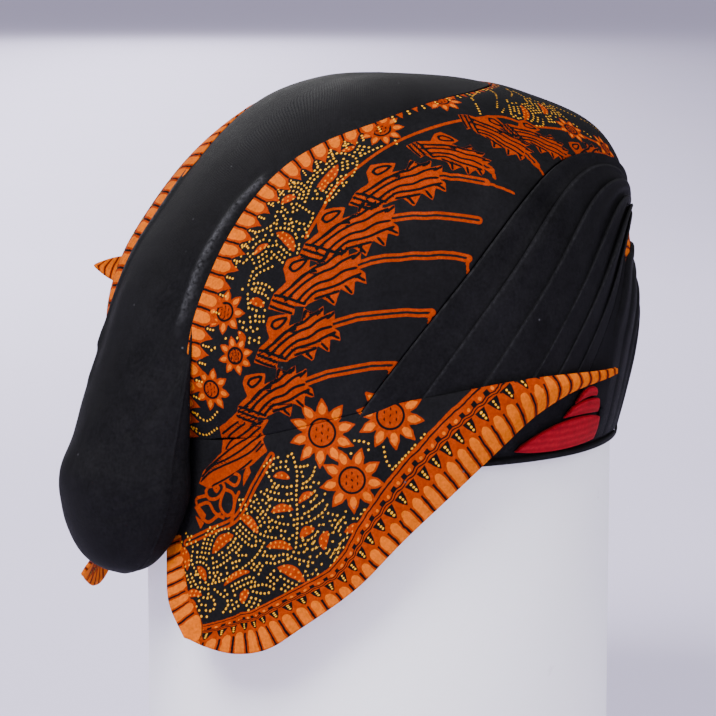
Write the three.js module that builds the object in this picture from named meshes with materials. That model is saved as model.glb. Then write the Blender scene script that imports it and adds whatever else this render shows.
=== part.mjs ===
import * as THREE from 'three';

// A blangkon, the folded and sewn batik headcloth of Java, on a plain white display cylinder.
// Millimetres, +Z up, the wearer looks along -Y, and the wearer's right side is at -X.
// A place on the dome is an azimuth in degrees (0 front, 90 left, 180 back, 270 right) and a
// height share t (0 rim, 1 top). Each cloth piece is a thin closed shell laid over the dome.

// Driving sizes
const RIM_Z = 150;        // rim of the hat over the foot of the cylinder
const TUBE_R = 88;        // outside radius of the cylinder
const TUBE_WALL = 3;
const TUBE_TOP = 66;      // top edge over the rim, just under the crown at the back
const CROWN_WALL = 1.8;   // stiff shell that carries the cloth
const CROWN_EASE = 0.5;   // how much lower the shell lies over the shoulders and top
const LAYER = 0.9;        // room between the crown shell and the cloth laid over it
const PANEL_EASE = 0.25;  // looser lay of the wide side panels
const CLOTH = 1.2;        // folded batik cloth
const JOINT = 0.0022;     // half the joint between neighbouring pieces, in dome units
const HEM_T = 0.03;       // share of the height where the cloth meets the rim hem
const FLAP_CLOTH = 1.5;
const STEPS = 16;         // steps along the shared edges of the side pieces
const CENTRE_STEPS = 4;   // those of them along the front centre line

// Dome profile at equal steps from rim to top: radius and height at front, side and back
const DOME = [
  { fr: 90.4, fz: 0, sr: 90.4, sz: 0, br: 90.4, bz: 0 },
  { fr: 95, fz: 14, sr: 94, sz: 14, br: 96, bz: 15 },
  { fr: 98, fz: 32, sr: 96, sz: 32, br: 99, bz: 32 },
  { fr: 98.5, fz: 50, sr: 95, sz: 50, br: 97.5, bz: 49 },
  { fr: 97.5, fz: 70, sr: 92.5, sz: 68, br: 91, bz: 66 },
  { fr: 96.5, fz: 88, sr: 87, sz: 86, br: 79, bz: 83 },
  { fr: 93.5, fz: 102, sr: 78, sz: 101, br: 66, bz: 98 },
  { fr: 83, fz: 114, sr: 64, sz: 113, br: 52, bz: 111 },
  { fr: 62, fz: 122.5, sr: 47, sz: 124, br: 36, bz: 122 },
  { fr: 35, fz: 131, sr: 25, sz: 132.5, br: 18.5, bz: 131 },
  { fr: 0, fz: 136, sr: 0, sz: 136, br: 0, bz: 136 },
];

// Batik edge beside the black tongue, from its tip over the top and down the back
const TONGUE_EDGE = [
  { az: 360, t: 0.88 }, { az: 328, t: 0.865 }, { az: 291.5, t: 0.83 }, { az: 258.7, t: 0.79 },
  { az: 231.5, t: 0.7 }, { az: 213.4, t: 0.62 }, { az: 203.4, t: 0.54 }, { az: 199.7, t: 0.45 },
  { az: 199, t: 0.36 }, { az: 199.1, t: 0.27 }, { az: 199.2, t: 0.18 }, { az: 199.5, t: HEM_T },
];

// Padding of the tongue at equal steps from its tip to the rim
const TONGUE = [
  { gap: 1, thick: 1.2 }, { gap: 1, thick: 2.2 }, { gap: 1, thick: 2.6 },
  { gap: 1, thick: 2.6 }, { gap: 1, thick: 2.6 }, { gap: 0.9, thick: 2.8 },
  { gap: 0.9, thick: 3.4 }, { gap: 0.9, thick: 6 }, { gap: 0.9, thick: 13 },
  { gap: 0.9, thick: 22 }, { gap: 3.9, thick: 27.2 },
];

// Hanging bulb under the rim: height, half width, and its inner and outer reach to the back
const BULB = [
  { z: -2, w: 31.4, inner: 97, outer: 124 }, { z: -9, w: 32.8, inner: 97.5, outer: 125.3 },
  { z: -16, w: 33.5, inner: 98, outer: 125.5 }, { z: -24, w: 32.5, inner: 98.5, outer: 124.5 },
  { z: -31, w: 30, inner: 99.5, outer: 122.5 }, { z: -38, w: 25.5, inner: 101.5, outer: 120 },
  { z: -43, w: 19.5, inner: 103.8, outer: 117 }, { z: -46.5, w: 11, inner: 107, outer: 113.5 },
];

// First and last fold of the front pleats: start at the front, gather, pull and foot
const FOLDS = [
  { start: 0.487, azGather: 342, tGather: 0.46, azPull: 290, tPull: 0.95, azFoot: 226, tFoot: HEM_T },
  { start: 0.478, azGather: 342, tGather: 0.41, azPull: 322, tPull: 0.45, azFoot: 286, tFoot: 0.165 },
];
const FOLD_PLACES = [0, 0.2, 0.36, 0.52, 0.66, 0.77, 0.86, 0.93];  // shares across the fan
const FOLD_RISE = 1.3;

// Upper edge and lower end of the brow pleats, which gather at the middle of the forehead
const BROW = [
  { start: 0.47, azGather: 343.5, tGather: 0.39, azPull: 329, tPull: 0.42, azFoot: 294 },
  { start: 0.09, azGather: 359, tGather: 0.085, azPull: 359.6, tPull: 0.07, azFoot: 359.8 },
];
const BROW_GATHER = 0.24;
const BROW_FOLDS = 7;
const BROW_RISE = 0.7;

// Side flap: seam along the hat, lower edge, and the edge beside the bulb
const FLAP_SEAM = [
  { x: -85.3, y: -48.3, z: 30.2 }, { x: -97.1, y: -24.1, z: 31 }, { x: -100.5, y: -2.7, z: 31 },
  { x: -99, y: 13.8, z: 29.7 }, { x: -95.6, y: 29.2, z: 27.3 }, { x: -89.8, y: 43.9, z: 24.5 },
  { x: -80.9, y: 58.7, z: 20.3 }, { x: -69.3, y: 72.1, z: 15.5 }, { x: -57.3, y: 81.3, z: 11.5 },
  { x: -45.6, y: 87.4, z: 9 }, { x: -34.5, y: 91.2, z: 8 },
];
const FLAP_EDGE = [
  { x: -85.3, y: -48.3, z: 28.4 }, { x: -92.9, y: -34.3, z: 27 }, { x: -97.3, y: -19.5, z: 22 },
  { x: -99.9, y: -4.1, z: 14.7 }, { x: -100.6, y: 8.8, z: 5.5 }, { x: -98.5, y: 26.4, z: -8 },
  { x: -93.2, y: 43.8, z: -23.1 }, { x: -85.6, y: 59, z: -39.6 }, { x: -74.7, y: 75.2, z: -54.1 },
  { x: -67.7, y: 84.2, z: -61.6 }, { x: -59.8, y: 92.3, z: -64.1 }, { x: -52, y: 99.4, z: -62.8 },
  { x: -44.1, y: 105.1, z: -60 },
];
const FLAP_BACK = [
  { x: -34.5, y: 91.2, z: 8 }, { x: -20, y: 92.6, z: -5 }, { x: -12, y: 94.4, z: -16 },
  { x: -12.5, y: 94.6, z: -27 }, { x: -20, y: 98, z: -38 }, { x: -32, y: 103.6, z: -50 },
  { x: -44.1, y: 105.1, z: -60 },
];
const FLAP_LIFT = { front: 3.5, back: 2.8 };  // room between the dome and the flap at its seam
const FLAP_SWELL = 2.6;    // outward bow of the flap between its edges

// Three red lining folds in front of the flap: lower and upper edge, azimuth and height
const RED_FOLDS = [
  { low: [[271, 4.6], [283, 3.3], [296.8, 4.6]], high: [[272, 6.4], [283.6, 13.4], [296.6, 13]] },
  { low: [[283.6, 15], [290, 15.2], [296.2, 14.8]], high: [[286, 18.4], [290.6, 20], [295.2, 19.8]] },
  { low: [[287, 19.6], [291, 21.2], [294.6, 21]], high: [[288.4, 22.6], [291, 24.6], [293.4, 24.2]] },
];

// Stray corner of cloth at the left of the back: two roots and a point
const LEFT_CORNER = { rootA: [147, 64], rootB: [151, 55], tip: [53, 91, 62] };

// Finishes
const cloth = (color) => new THREE.MeshStandardMaterial({ color, roughness: 0.85, metalness: 0 });
const BLACK = 0x232326, BATIK = 0x6b3416, ORANGE = 0xd9822b, RED = 0xa81f28;
const boardWhite = new THREE.MeshStandardMaterial({ color: 0xf0f0f2, roughness: 0.55, metalness: 0 });

const hat = new THREE.Group();
hat.position.z = RIM_Z;

const clamp = (x) => Math.min(1, Math.max(0, x));
const mix = (a, b, k) => a + (b - a) * k;
const ease = (a, b, x) => { const k = clamp((x - a) / (b - a)); return k * k * (3 - 2 * k); };
const rad = THREE.MathUtils.degToRad;

// Smooth value of every column at share s down a table
function along(rows, s) {
  const n = rows.length - 1, x = clamp(s) * n, i = Math.min(n - 1, Math.floor(x)), w = x - i;
  const row = (k) => rows[Math.min(n, Math.max(0, k))];
  const out = {};
  for (const key of Object.keys(rows[0])) {
    const b = row(i)[key], c = row(i + 1)[key];
    const a = i === 0 ? 2 * b - c : row(i - 1)[key];
    const d = i >= n - 1 ? 2 * c - b : row(i + 2)[key];
    out[key] = b + 0.5 * w * (c - a + w * (2 * a - 5 * b + 4 * c - d + w * (3 * (b - c) + d - a)));
  }
  return out;
}

// Point of the dome at azimuth (radians) and height share
function dome(theta, t) {
  const s = Math.sin(theta), c = Math.cos(theta), p = along(DOME, t);
  const r = s * s * p.sr + c * c * (c > 0 ? p.fr : p.br);
  const z = t < 0 ? t * 200 : s * s * p.sz + c * c * (c > 0 ? p.fz : p.bz);
  return new THREE.Vector3(s * r, -c * r, z);
}

// The dome seen as a flat disc: its centre is the top, radius 1 is the rim, +b is the back
const disc = (az, t) => [(1 - t) * Math.sin(rad(az)), -(1 - t) * Math.cos(rad(az))];
const onDisc = (a, b) => dome(Math.atan2(a, -b), 1 - Math.hypot(a, b));

function normalAt(a, b) {
  const e = 0.004;
  const u = onDisc(a + e, b).sub(onDisc(a - e, b)), v = onDisc(a, b + e).sub(onDisc(a, b - e));
  return u.cross(v).normalize();
}
const skin = (a, b, off) => onDisc(a, b).addScaledVector(normalAt(a, b), off);

// Closed solid from two matching grids of points, [row][column]; wrap closes each row on itself
function shell(inner, outer, wrap = false) {
  const rows = inner.length, cols = inner[0].length, pos = [], idx = [];
  for (const grid of [inner, outer]) for (const row of grid) for (const p of row) pos.push(p.x, p.y, p.z);
  const at = (side, r, c) => side * rows * cols + r * cols + (c % cols);
  const quad = (a, b, c, d) => idx.push(a, b, c, a, c, d);
  const last = wrap ? cols : cols - 1;
  for (let r = 0; r < rows - 1; r++) for (let c = 0; c < last; c++) {
    quad(at(1, r, c), at(1, r, c + 1), at(1, r + 1, c + 1), at(1, r + 1, c));
    quad(at(0, r, c), at(0, r + 1, c), at(0, r + 1, c + 1), at(0, r, c + 1));
  }
  for (let c = 0; c < last; c++) {
    quad(at(0, 0, c), at(0, 0, c + 1), at(1, 0, c + 1), at(1, 0, c));
    quad(at(0, rows - 1, c), at(1, rows - 1, c), at(1, rows - 1, c + 1), at(0, rows - 1, c + 1));
  }
  if (!wrap) for (let r = 0; r < rows - 1; r++) {
    quad(at(0, r, 0), at(1, r, 0), at(1, r + 1, 0), at(0, r + 1, 0));
    quad(at(0, r, cols - 1), at(0, r + 1, cols - 1), at(1, r + 1, cols - 1), at(1, r, cols - 1));
  }
  return solid(pos, idx);
}

function volume(pos, idx) {
  let v = 0;
  const p = (i) => new THREE.Vector3(pos[3 * i], pos[3 * i + 1], pos[3 * i + 2]);
  for (let i = 0; i < idx.length; i += 3) v += p(idx[i]).dot(p(idx[i + 1]).cross(p(idx[i + 2]))) / 6;
  return v;
}

// Indexed geometry whose faces point out, whichever way the grid ran
function solid(pos, idx) {
  if (volume(pos, idx) < 0) for (let i = 0; i < idx.length; i += 3) [idx[i], idx[i + 1]] = [idx[i + 1], idx[i]];
  const g = new THREE.BufferGeometry();
  g.setAttribute('position', new THREE.Float32BufferAttribute(pos, 3));
  g.setIndex(idx);
  g.computeVertexNormals();
  return g;
}

function add(name, geometry, material) {
  const mesh = new THREE.Mesh(geometry, material);
  mesh.name = name;
  hat.add(mesh);
}

// A piece of the wearer's right side, and its mirror image on the left
function addPair(name, geometry, material) {
  add(`right_${name}`, geometry, material);
  const pos = Array.from(geometry.attributes.position.array, (v, i) => (i % 3 ? v : -v));
  add(`left_${name}`, solid(pos, Array.from(geometry.index.array)), material);
}

// Shell between two offsets of a disc place: place(u, v) gives [a, b], height(u, v) its outer offset
function laid(cols, rows, place, height, base = LAYER) {
  const inner = [], outer = [];
  for (const v of rows) {
    inner.push(cols.map((u) => skin(...place(u, v), base)));
    outer.push(cols.map((u) => skin(...place(u, v), height(u, v))));
  }
  return shell(inner, outer);
}
const range = (n) => Array.from({ length: n + 1 }, (_, i) => i / n);

// Display cylinder
function makeTube() {
  const foot = -RIM_Z, inside = TUBE_R - TUBE_WALL;
  const profile = [[inside, foot], [TUBE_R, foot], [TUBE_R, TUBE_TOP], [inside, TUBE_TOP], [inside, foot]];
  const tube = new THREE.LatheGeometry(profile.map(([r, z]) => new THREE.Vector2(r, z)), 44);
  tube.rotateX(Math.PI / 2);
  return tube;
}
add('display_tube', makeTube(), boardWhite);

// Stiff crown shell, the full dome with an open rim
function makeCrown(segments, outerRings, innerRings) {
  const pos = [], idx = [];
  const rings = [];
  const ring = (t, off) => {
    const first = pos.length / 3;
    for (let i = 0; i < segments; i++) {
      const [a, b] = disc(360 * i / segments, t), p = skin(a, b, off);
      if (t === 0) p.z = 0;
      pos.push(p.x, p.y, p.z);
    }
    rings.push(first);
    return first;
  };
  const steps = (n) => range(n).slice(0, n).map((t) => t * (0.985 - 0.1 * t * (1 - t)));
  for (const t of steps(innerRings).reverse()) ring(t, -CROWN_WALL);
  for (const t of steps(outerRings)) ring(t, -CROWN_EASE * ease(0.45, 0.6, t));
  for (let r = 0; r < rings.length - 1; r++) for (let i = 0; i < segments; i++) {
    const j = (i + 1) % segments, [p, q] = [rings[r], rings[r + 1]];
    idx.push(p + i, p + j, q + j, p + i, q + j, q + i);
  }
  const poles = [skin(0, 0, -CROWN_WALL), skin(0, 0, -CROWN_EASE)];
  poles.forEach((p) => pos.push(p.x, p.y, p.z));
  const under = pos.length / 3 - 2, over = under + 1, top = rings[rings.length - 1];
  for (let i = 0; i < segments; i++) {
    const j = (i + 1) % segments;
    idx.push(under, rings[0] + j, rings[0] + i, over, top + i, top + j);
  }
  return solid(pos, idx);
}
add('crown', makeCrown(44, 17, 9), cloth(BLACK));

// Bound hem round the rim
function makeHem() {
  const cols = range(44).slice(0, 44);
  const grid = (off) => [0, HEM_T - 0.013].map((t) => cols.map((u) => {
    const p = skin(...disc(360 * u, t), off);
    if (t === 0) p.z = 0;
    return p;
  }));
  return shell(grid(LAYER - 0.2), grid(LAYER + CLOTH), true);
}
add('rim_hem', makeHem(), cloth(BLACK));

// Curve of a fold from the front centre through its gather to its foot
function foldCurve(f, s) {
  const hook = 2 / STEPS;
  if (s < hook) {
    const k = s / hook;
    return disc(mix(360, f.azGather, k), mix(f.start, f.tGather, k));
  }
  const az = (k) => (1 - k) ** 2 * f.azGather + 2 * k * (1 - k) * f.azPull + k * k * f.azFoot;
  const t = (k) => (1 - k) ** 2 * f.tGather + 2 * k * (1 - k) * f.tPull;
  let low = 0.5, high = 1;                        // find where the fold comes down to its foot
  for (let i = 0; i < 24; i++) {
    const k = (low + high) / 2;
    if (t(k) > f.tFoot) low = k; else high = k;
  }
  const k = low * (s - hook) / (1 - hook);
  return disc(az(k), t(k));
}
function blendRows(rows, k) {
  const out = {};
  for (const key of Object.keys(rows[0])) out[key] = mix(rows[0][key], rows[1][key], k);
  return out;
}
const fanFold = (k, s) => foldCurve({ ...blendRows(FOLDS, k), tFoot: mix(HEM_T, 0.165, ease(0.35, 0.7, k)) }, s);
const browFold = (k, s) => foldCurve({
  ...blendRows(BROW, k), tFoot: HEM_T,
  start: BROW_GATHER + 0.23 * (1 - k) ** 2.5 - 0.15 * k ** 2.5,
}, s);

// Move a disc place sideways, away from the curve that it lies on
function inset(curve, s, side) {
  const [a, b] = curve(s), e = 0.01;
  const [p, q] = curve(Math.max(0, s - e)), [m, n] = curve(Math.min(1, s + e));
  const len = Math.hypot(m - p, n - q) || 1;
  const out = [a - side * (n - q) / len, b + side * (m - p) / len];
  return [Math.min(out[0], -JOINT), out[1]];
}

// Edge of the side panel: up the front centre line, round the tongue and down the back
const edgePoints = new THREE.SplineCurve(TONGUE_EDGE.map((p) => new THREE.Vector2(...disc(p.az, p.t))))
  .getSpacedPoints(STEPS - CENTRE_STEPS);
function panelEdge(s) {
  const x = s * STEPS, tipB = -(1 - TONGUE_EDGE[0].t);
  if (x <= CENTRE_STEPS) return [0, mix(-(1 - 0.53), tipB, x / CENTRE_STEPS)];
  const y = x - CENTRE_STEPS, i = Math.min(edgePoints.length - 2, Math.floor(y));
  const p = edgePoints[i].clone().lerp(edgePoints[i + 1], y - i);
  return [p.x, p.y];
}

const steps = range(STEPS);
const stations = (curve, side) => steps.map((s) => inset(curve, s, side));
const lerpPlace = (p, q, k) => [mix(p[0], q[0], k), mix(p[1], q[1], k)];

// Batik side panel
const panelOuter = stations(panelEdge, JOINT), panelInner = stations((s) => fanFold(0, s), -JOINT);
addPair('panel', laid(range(9), steps.map((_, j) => j),
  (u, j) => lerpPlace(panelOuter[j], panelInner[j], u), () => LAYER + PANEL_EASE + CLOTH,
  LAYER + PANEL_EASE), cloth(BATIK));

// Black pleats fanning from the front, each fold raised over the one above it
const foldAcross = FOLD_PLACES.flatMap((k, i) => {
  const next = FOLD_PLACES[i + 1] ?? 1;
  return i === 0 ? [k, mix(k, next, 0.92)] : [k, mix(k, next, 0.9)];
}).concat(1);
const fanHeight = (k, s) => {
  const i = foldAcross.indexOf(k), raised = i % 2 === 0 && k < 1;
  return LAYER + CLOTH + (raised ? FOLD_RISE : 0.1) * ease(0.86, 0.62, s);
};
addPair('front_pleats', laid(foldAcross, steps, (k, s) => {
  if (k === 0) return inset((x) => fanFold(0, x), s, JOINT);
  if (k === 1) return inset((x) => fanFold(1, x), s, -JOINT);
  const p = fanFold(k, s);
  return [Math.min(p[0], -JOINT), p[1]];
}, fanHeight), cloth(BLACK));

// Strip of printed cloth edge between the front pleats and the brow pleats
const stripSteps = steps.slice(2);
addPair('batik_strip', laid([0, 1], stripSteps, (u, s) => {
  const start = fanFold(1, s), end = browFold(0, s * 0.93);
  const [p, q] = [inset((x) => fanFold(1, x), s, JOINT), inset((x) => browFold(0, x * 0.93), s, -JOINT)];
  return Math.hypot(start[0] - end[0], start[1] - end[1]) > 4 * JOINT ? lerpPlace(p, q, u) : lerpPlace(start, end, u);
}, () => LAYER + CLOTH - 0.2), cloth(ORANGE));

// Fine pleats of the brow band
const browAcross = range(BROW_FOLDS * 2);
addPair('brow_wrap', laid(browAcross, steps, (k, s) => {
  const p = k === 0 ? inset((x) => browFold(0, x), s, JOINT) : browFold(k, s);
  return [Math.min(p[0], -JOINT), p[1]];
}, (k, s) => LAYER + 1 + (Math.round(k * BROW_FOLDS * 2) % 2 ? 0 : BROW_RISE) * ease(1, 0.85, s)), cloth(BLACK));

// Padded tongue over the top with its bulb hanging at the back
function makeMondolan() {
  const across = [-90, -72, -54, -36, -18, 0, 18, 36, 54, 72, 90].map((d) => Math.sin(rad(d)));
  const back = new THREE.Vector3(0, 1, 0);
  const inner = [], outer = [];
  const section = (points, dirs, gap, thick, round) => {
    inner.push([]); outer.push([]);
    across.forEach((u, i) => {
      const arch = Math.max(0.6, thick / 2 * Math.sqrt(1 - u * u));
      const low = mix(gap, gap + thick / 2 - arch, round);
      const high = mix(gap + CLOTH + (thick - CLOTH) * (1 - u * u), gap + thick / 2 + arch, round);
      inner.at(-1).push(points[i].clone().addScaledVector(dirs[i], low));
      outer.at(-1).push(points[i].clone().addScaledVector(dirs[i], high));
    });
  };
  for (let j = CENTRE_STEPS; j <= STEPS; j += 0.5) {
    const [a, b] = inset(panelEdge, j / STEPS, -1.6 * JOINT);
    const half = Math.max(0.004, Math.abs(a));
    const q = Math.hypot(half, b), round = ease(0.5, 0.82, b), mid = mix(b, q, round);
    const share = (b - -0.12) / (0.95 - -0.12), pad = along(TONGUE, share);
    const places = across.map((u) => [half * u, mix(mid, b, u * u)]);
    section(places.map(([x, y]) => onDisc(x, y)),
      places.map(([x, y]) => normalAt(x, y).lerp(back, round).normalize()), pad.gap, pad.thick, round);
  }
  const rim = DOME[0].br;
  for (const row of BULB) {
    const points = across.map((u) => new THREE.Vector3(row.w * u, Math.sqrt(rim ** 2 - (row.w * u) ** 2), row.z));
    section(points, across.map(() => back), row.inner - rim, row.outer - row.inner, 1);
  }
  return shell(inner, outer);
}
add('mondolan', makeMondolan(), cloth(BLACK));

// Side flap, a sheet between four edge curves
const vec = (o) => new THREE.Vector3(o.x, o.y, o.z);
function makeFlap(cols, rows) {
  const curve = (rowsOf, s) => vec(along(rowsOf, s));
  const seat = (p, u) => {                         // bring a seam point to its place over the dome
    const lift = mix(FLAP_LIFT.front, FLAP_LIFT.back, ease(0.55, 0.75, u));
    const theta = Math.atan2(p.x, -p.y);
    let low = 0, high = 0.5;
    for (let i = 0; i < 24; i++) {
      const t = (low + high) / 2;
      if (dome(theta, t).z < p.z) low = t; else high = t;
    }
    const q = 1 - low, on = skin(q * Math.sin(theta), -q * Math.cos(theta), lift + FLAP_CLOTH / 2);
    return on;
  };
  const top = vec(FLAP_SEAM.at(-1)), low = vec(FLAP_EDGE.at(-1));
  const mid = rows.map((v) => cols.map((u) => {
    const p = curve(FLAP_SEAM, u).lerp(curve(FLAP_EDGE, u), v);
    p.addScaledVector(curve(FLAP_BACK, v).sub(top.clone().lerp(low, v)), u ** 6);
    const shift = seat(curve(FLAP_SEAM, u), u).sub(curve(FLAP_SEAM, u));
    const out = new THREE.Vector3(p.x, p.y, 0).normalize();
    return p.addScaledVector(shift, mix(1, (1 - v) ** 2, ease(0, 0.3, u))).addScaledVector(out, FLAP_SWELL * 4 * v * (1 - v) * ease(0, 0.2, u));
  }));
  const offset = (d) => mid.map((row, r) => row.map((p, c) => {
    const left = row[Math.max(0, c - 1)], right = row[Math.min(row.length - 1, c + 1)];
    const up = mid[Math.max(0, r - 1)][c], down = mid[Math.min(mid.length - 1, r + 1)][c];
    const n = right.clone().sub(left).cross(down.clone().sub(up)).normalize();
    if (n.x * p.x + n.y * p.y < 0) n.negate();
    return p.clone().addScaledVector(n, d);
  }));
  return shell(offset(-FLAP_CLOTH / 2), offset(FLAP_CLOTH / 2));
}
addPair('flap', makeFlap(range(18), range(5)), cloth(BATIK));

// Red folds of lining in front of each flap, each tucked under the one below it
const heightToT = (az, z) => {
  let low = 0, high = 0.5;
  for (let i = 0; i < 24; i++) {
    const t = (low + high) / 2;
    if (dome(rad(az), t).z < z) low = t; else high = t;
  }
  return low;
};
RED_FOLDS.forEach((fold, i) => {
  const row = (edge, u) => {
    const [p, q, r] = edge, k = (c) => (1 - u) ** 2 * p[c] + 2 * u * (1 - u) * (2 * q[c] - (p[c] + r[c]) / 2) + u * u * r[c];
    return disc(k(0), heightToT(k(0), k(1)));
  };
  addPair(`red_fold_${i + 1}`, laid(range(5), [0, 0.5, 1],
    (u, v) => lerpPlace(row(fold.low, u), row(fold.high, u), v), (u, v) => LAYER + mix(1, 1.8, v)), cloth(RED));
});

// Stray corner of batik standing off the left of the back
function makeCorner() {
  const { rootA, rootB, tip } = LEFT_CORNER;
  const root = ([az, z]) => skin(...disc(az, heightToT(az, z)), LAYER + CLOTH + 0.5);
  const [a, b, c] = [root(rootA), root(rootB), new THREE.Vector3(...tip)];
  const n = b.clone().sub(a).cross(c.clone().sub(a)).normalize();
  const near = c.clone().lerp(a.clone().lerp(b, 0.5), 0.08);
  const edge = (k) => [a.clone().lerp(b, k), near.clone().addScaledVector(b.clone().sub(a), 0.06 * (k - 0.5)).lerp(c, 0.5)];
  const grid = (d) => [0, 1].map((r) => [0, 1].map((k) => edge(k)[r].clone().addScaledVector(n, d)));
  return shell(grid(-0.5), grid(0.5));
}
add('left_corner_tip', makeCorner(), cloth(BATIK));

// Stand the whole on z = 0 with the middle of its box over the origin
hat.updateMatrixWorld(true);
const box = new THREE.Box3().setFromObject(hat), middle = box.getCenter(new THREE.Vector3());
hat.position.x -= middle.x;
hat.position.y -= middle.y;

export default hat;
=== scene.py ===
import math
import bpy
import numpy as np
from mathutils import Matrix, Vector


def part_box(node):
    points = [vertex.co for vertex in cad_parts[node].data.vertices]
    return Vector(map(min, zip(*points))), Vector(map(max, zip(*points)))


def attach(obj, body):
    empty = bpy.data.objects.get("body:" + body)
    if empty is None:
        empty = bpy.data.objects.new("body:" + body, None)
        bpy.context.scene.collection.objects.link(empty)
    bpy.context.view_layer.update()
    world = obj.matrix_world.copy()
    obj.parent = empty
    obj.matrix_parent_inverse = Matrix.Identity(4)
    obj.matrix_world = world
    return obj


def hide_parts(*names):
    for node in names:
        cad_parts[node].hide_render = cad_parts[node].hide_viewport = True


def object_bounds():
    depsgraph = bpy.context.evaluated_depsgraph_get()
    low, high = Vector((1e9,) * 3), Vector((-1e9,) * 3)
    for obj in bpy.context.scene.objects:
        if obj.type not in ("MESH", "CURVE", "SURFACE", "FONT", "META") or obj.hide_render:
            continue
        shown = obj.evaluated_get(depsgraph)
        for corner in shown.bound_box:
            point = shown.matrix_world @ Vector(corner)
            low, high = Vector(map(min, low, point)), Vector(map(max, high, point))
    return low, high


# Blangkon, a folded and sewn batik headcloth, on a plain display cylinder.
# Shapes are worked out in millimetres about the cylinder's axis, with the hat's rim at
# height zero. The wearer looks along -Y and the wearer's right side is at -X.

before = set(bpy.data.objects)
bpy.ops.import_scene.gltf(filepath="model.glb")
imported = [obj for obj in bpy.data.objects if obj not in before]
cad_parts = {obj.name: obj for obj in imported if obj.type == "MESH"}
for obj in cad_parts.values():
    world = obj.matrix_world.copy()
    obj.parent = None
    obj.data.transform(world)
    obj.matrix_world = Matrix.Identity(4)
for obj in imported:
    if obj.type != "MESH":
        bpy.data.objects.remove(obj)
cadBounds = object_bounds()

hat = {
    "layer": 0.9,          # room between the crown and the cloth on it
    "cloth": 1.2,          # thickness of the folded cloth
    "joint": 0.0022,       # half the joint between neighbours, in dome units
    "hemShare": 0.03,      # share of the height where the cloth meets the hem
    "centreShare": 0.25,   # share of the side pieces' length that lies on the centre line
}
tubeLow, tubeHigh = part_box("display_tube")
axisPlace = np.array([(tubeLow[0] + tubeHigh[0]) / 2, (tubeLow[1] + tubeHigh[1]) / 2, tubeHigh[2] - 0.066])


def toFrame(points):                             # hat millimetres to frame metres
    return np.asarray(points) * 0.001 + axisPlace


# Dome of the hat: radius and height at front, side and back, from rim to top
domeRows = np.array([
    [88.8, 0, 90.4, 0, 90.4, 0], [90.8, 14, 94, 14, 96, 15], [93.8, 32, 96, 32, 99, 32],
    [96.5, 50, 95, 50, 97.5, 49], [93.5, 70, 92.5, 68, 91, 66], [92.5, 88, 87, 86, 79, 83],
    [91, 102, 78, 101, 66, 98], [82, 114, 64, 113, 52, 111], [62, 122.5, 47, 124, 36, 122],
    [35, 129.5, 25, 130, 18.5, 128.5], [0, 131.5, 0, 131.5, 0, 131.5]])


def mix(a, b, k):
    return a + (b - a) * k


def ease(a, b, x):
    k = np.clip((x - a) / (b - a), 0, 1)
    return k * k * (3 - 2 * k)


def tableAt(rows, share):                        # smooth row of a table at a share of its length
    rows = np.asarray(rows, float)
    n = len(rows) - 1
    x = np.clip(np.asarray(share, float), 0, 1) * n
    i = np.minimum(np.floor(x).astype(int), n - 1)
    w = (x - i)[..., None]
    row = lambda k: rows[np.clip(k, 0, n)]
    b, c = row(i), row(i + 1)
    a = np.where((i == 0)[..., None], 2 * b - c, row(i - 1))
    d = np.where((i >= n - 1)[..., None], 2 * c - b, row(i + 2))
    return b + 0.5 * w * (c - a + w * (2 * a - 5 * b + 4 * c - d + w * (3 * (b - c) + d - a)))


def domePoint(theta, t):
    s, c = np.sin(theta), np.cos(theta)
    p = tableAt(domeRows, t)
    front = (c > 0)
    r = s * s * p[..., 2] + c * c * np.where(front, p[..., 0], p[..., 4])
    z = s * s * p[..., 3] + c * c * np.where(front, p[..., 1], p[..., 5])
    z = np.where(t < 0, t * 200, z)
    return np.stack([s * r, -c * r, z], -1)


def disc(az, t):                                 # the dome as a flat disc, 1 at the rim and +b at the back
    angle = np.radians(az)
    return np.stack([(1 - t) * np.sin(angle), -(1 - t) * np.cos(angle)], -1)


def discPoint(place):
    a, b = place[..., 0], place[..., 1]
    return domePoint(np.arctan2(a, -b), 1 - np.hypot(a, b))


def discNormal(place):
    e = 0.004
    da, db = np.array([e, 0]), np.array([0, e])
    n = np.cross(discPoint(place + da) - discPoint(place - da), discPoint(place + db) - discPoint(place - db))
    return n / np.linalg.norm(n, axis=-1, keepdims=True)


def skin(place, height):
    return discPoint(place) + discNormal(place) * np.asarray(height, float)[..., None]


def ripple(x, y, seed, waves=7, low=0.4, high=1.6):      # smooth repeatable unevenness, about -1 to 1
    rng = np.random.default_rng(seed)
    total = 0
    for _ in range(waves):
        f, g = rng.uniform(low, high, 2) * rng.choice([-1, 1], 2)
        total = total + np.sin(x * f + y * g + rng.uniform(0, 6.3))
    return total / math.sqrt(waves) / 1.2


# Mesh of a closed shell from two grids of points, [row][column]

def steps(count, share):
    n = max(1, int(round((count - 1) / share)))
    return np.unique(np.round(np.linspace(0, count - 1, n + 1)).astype(int))


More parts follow.
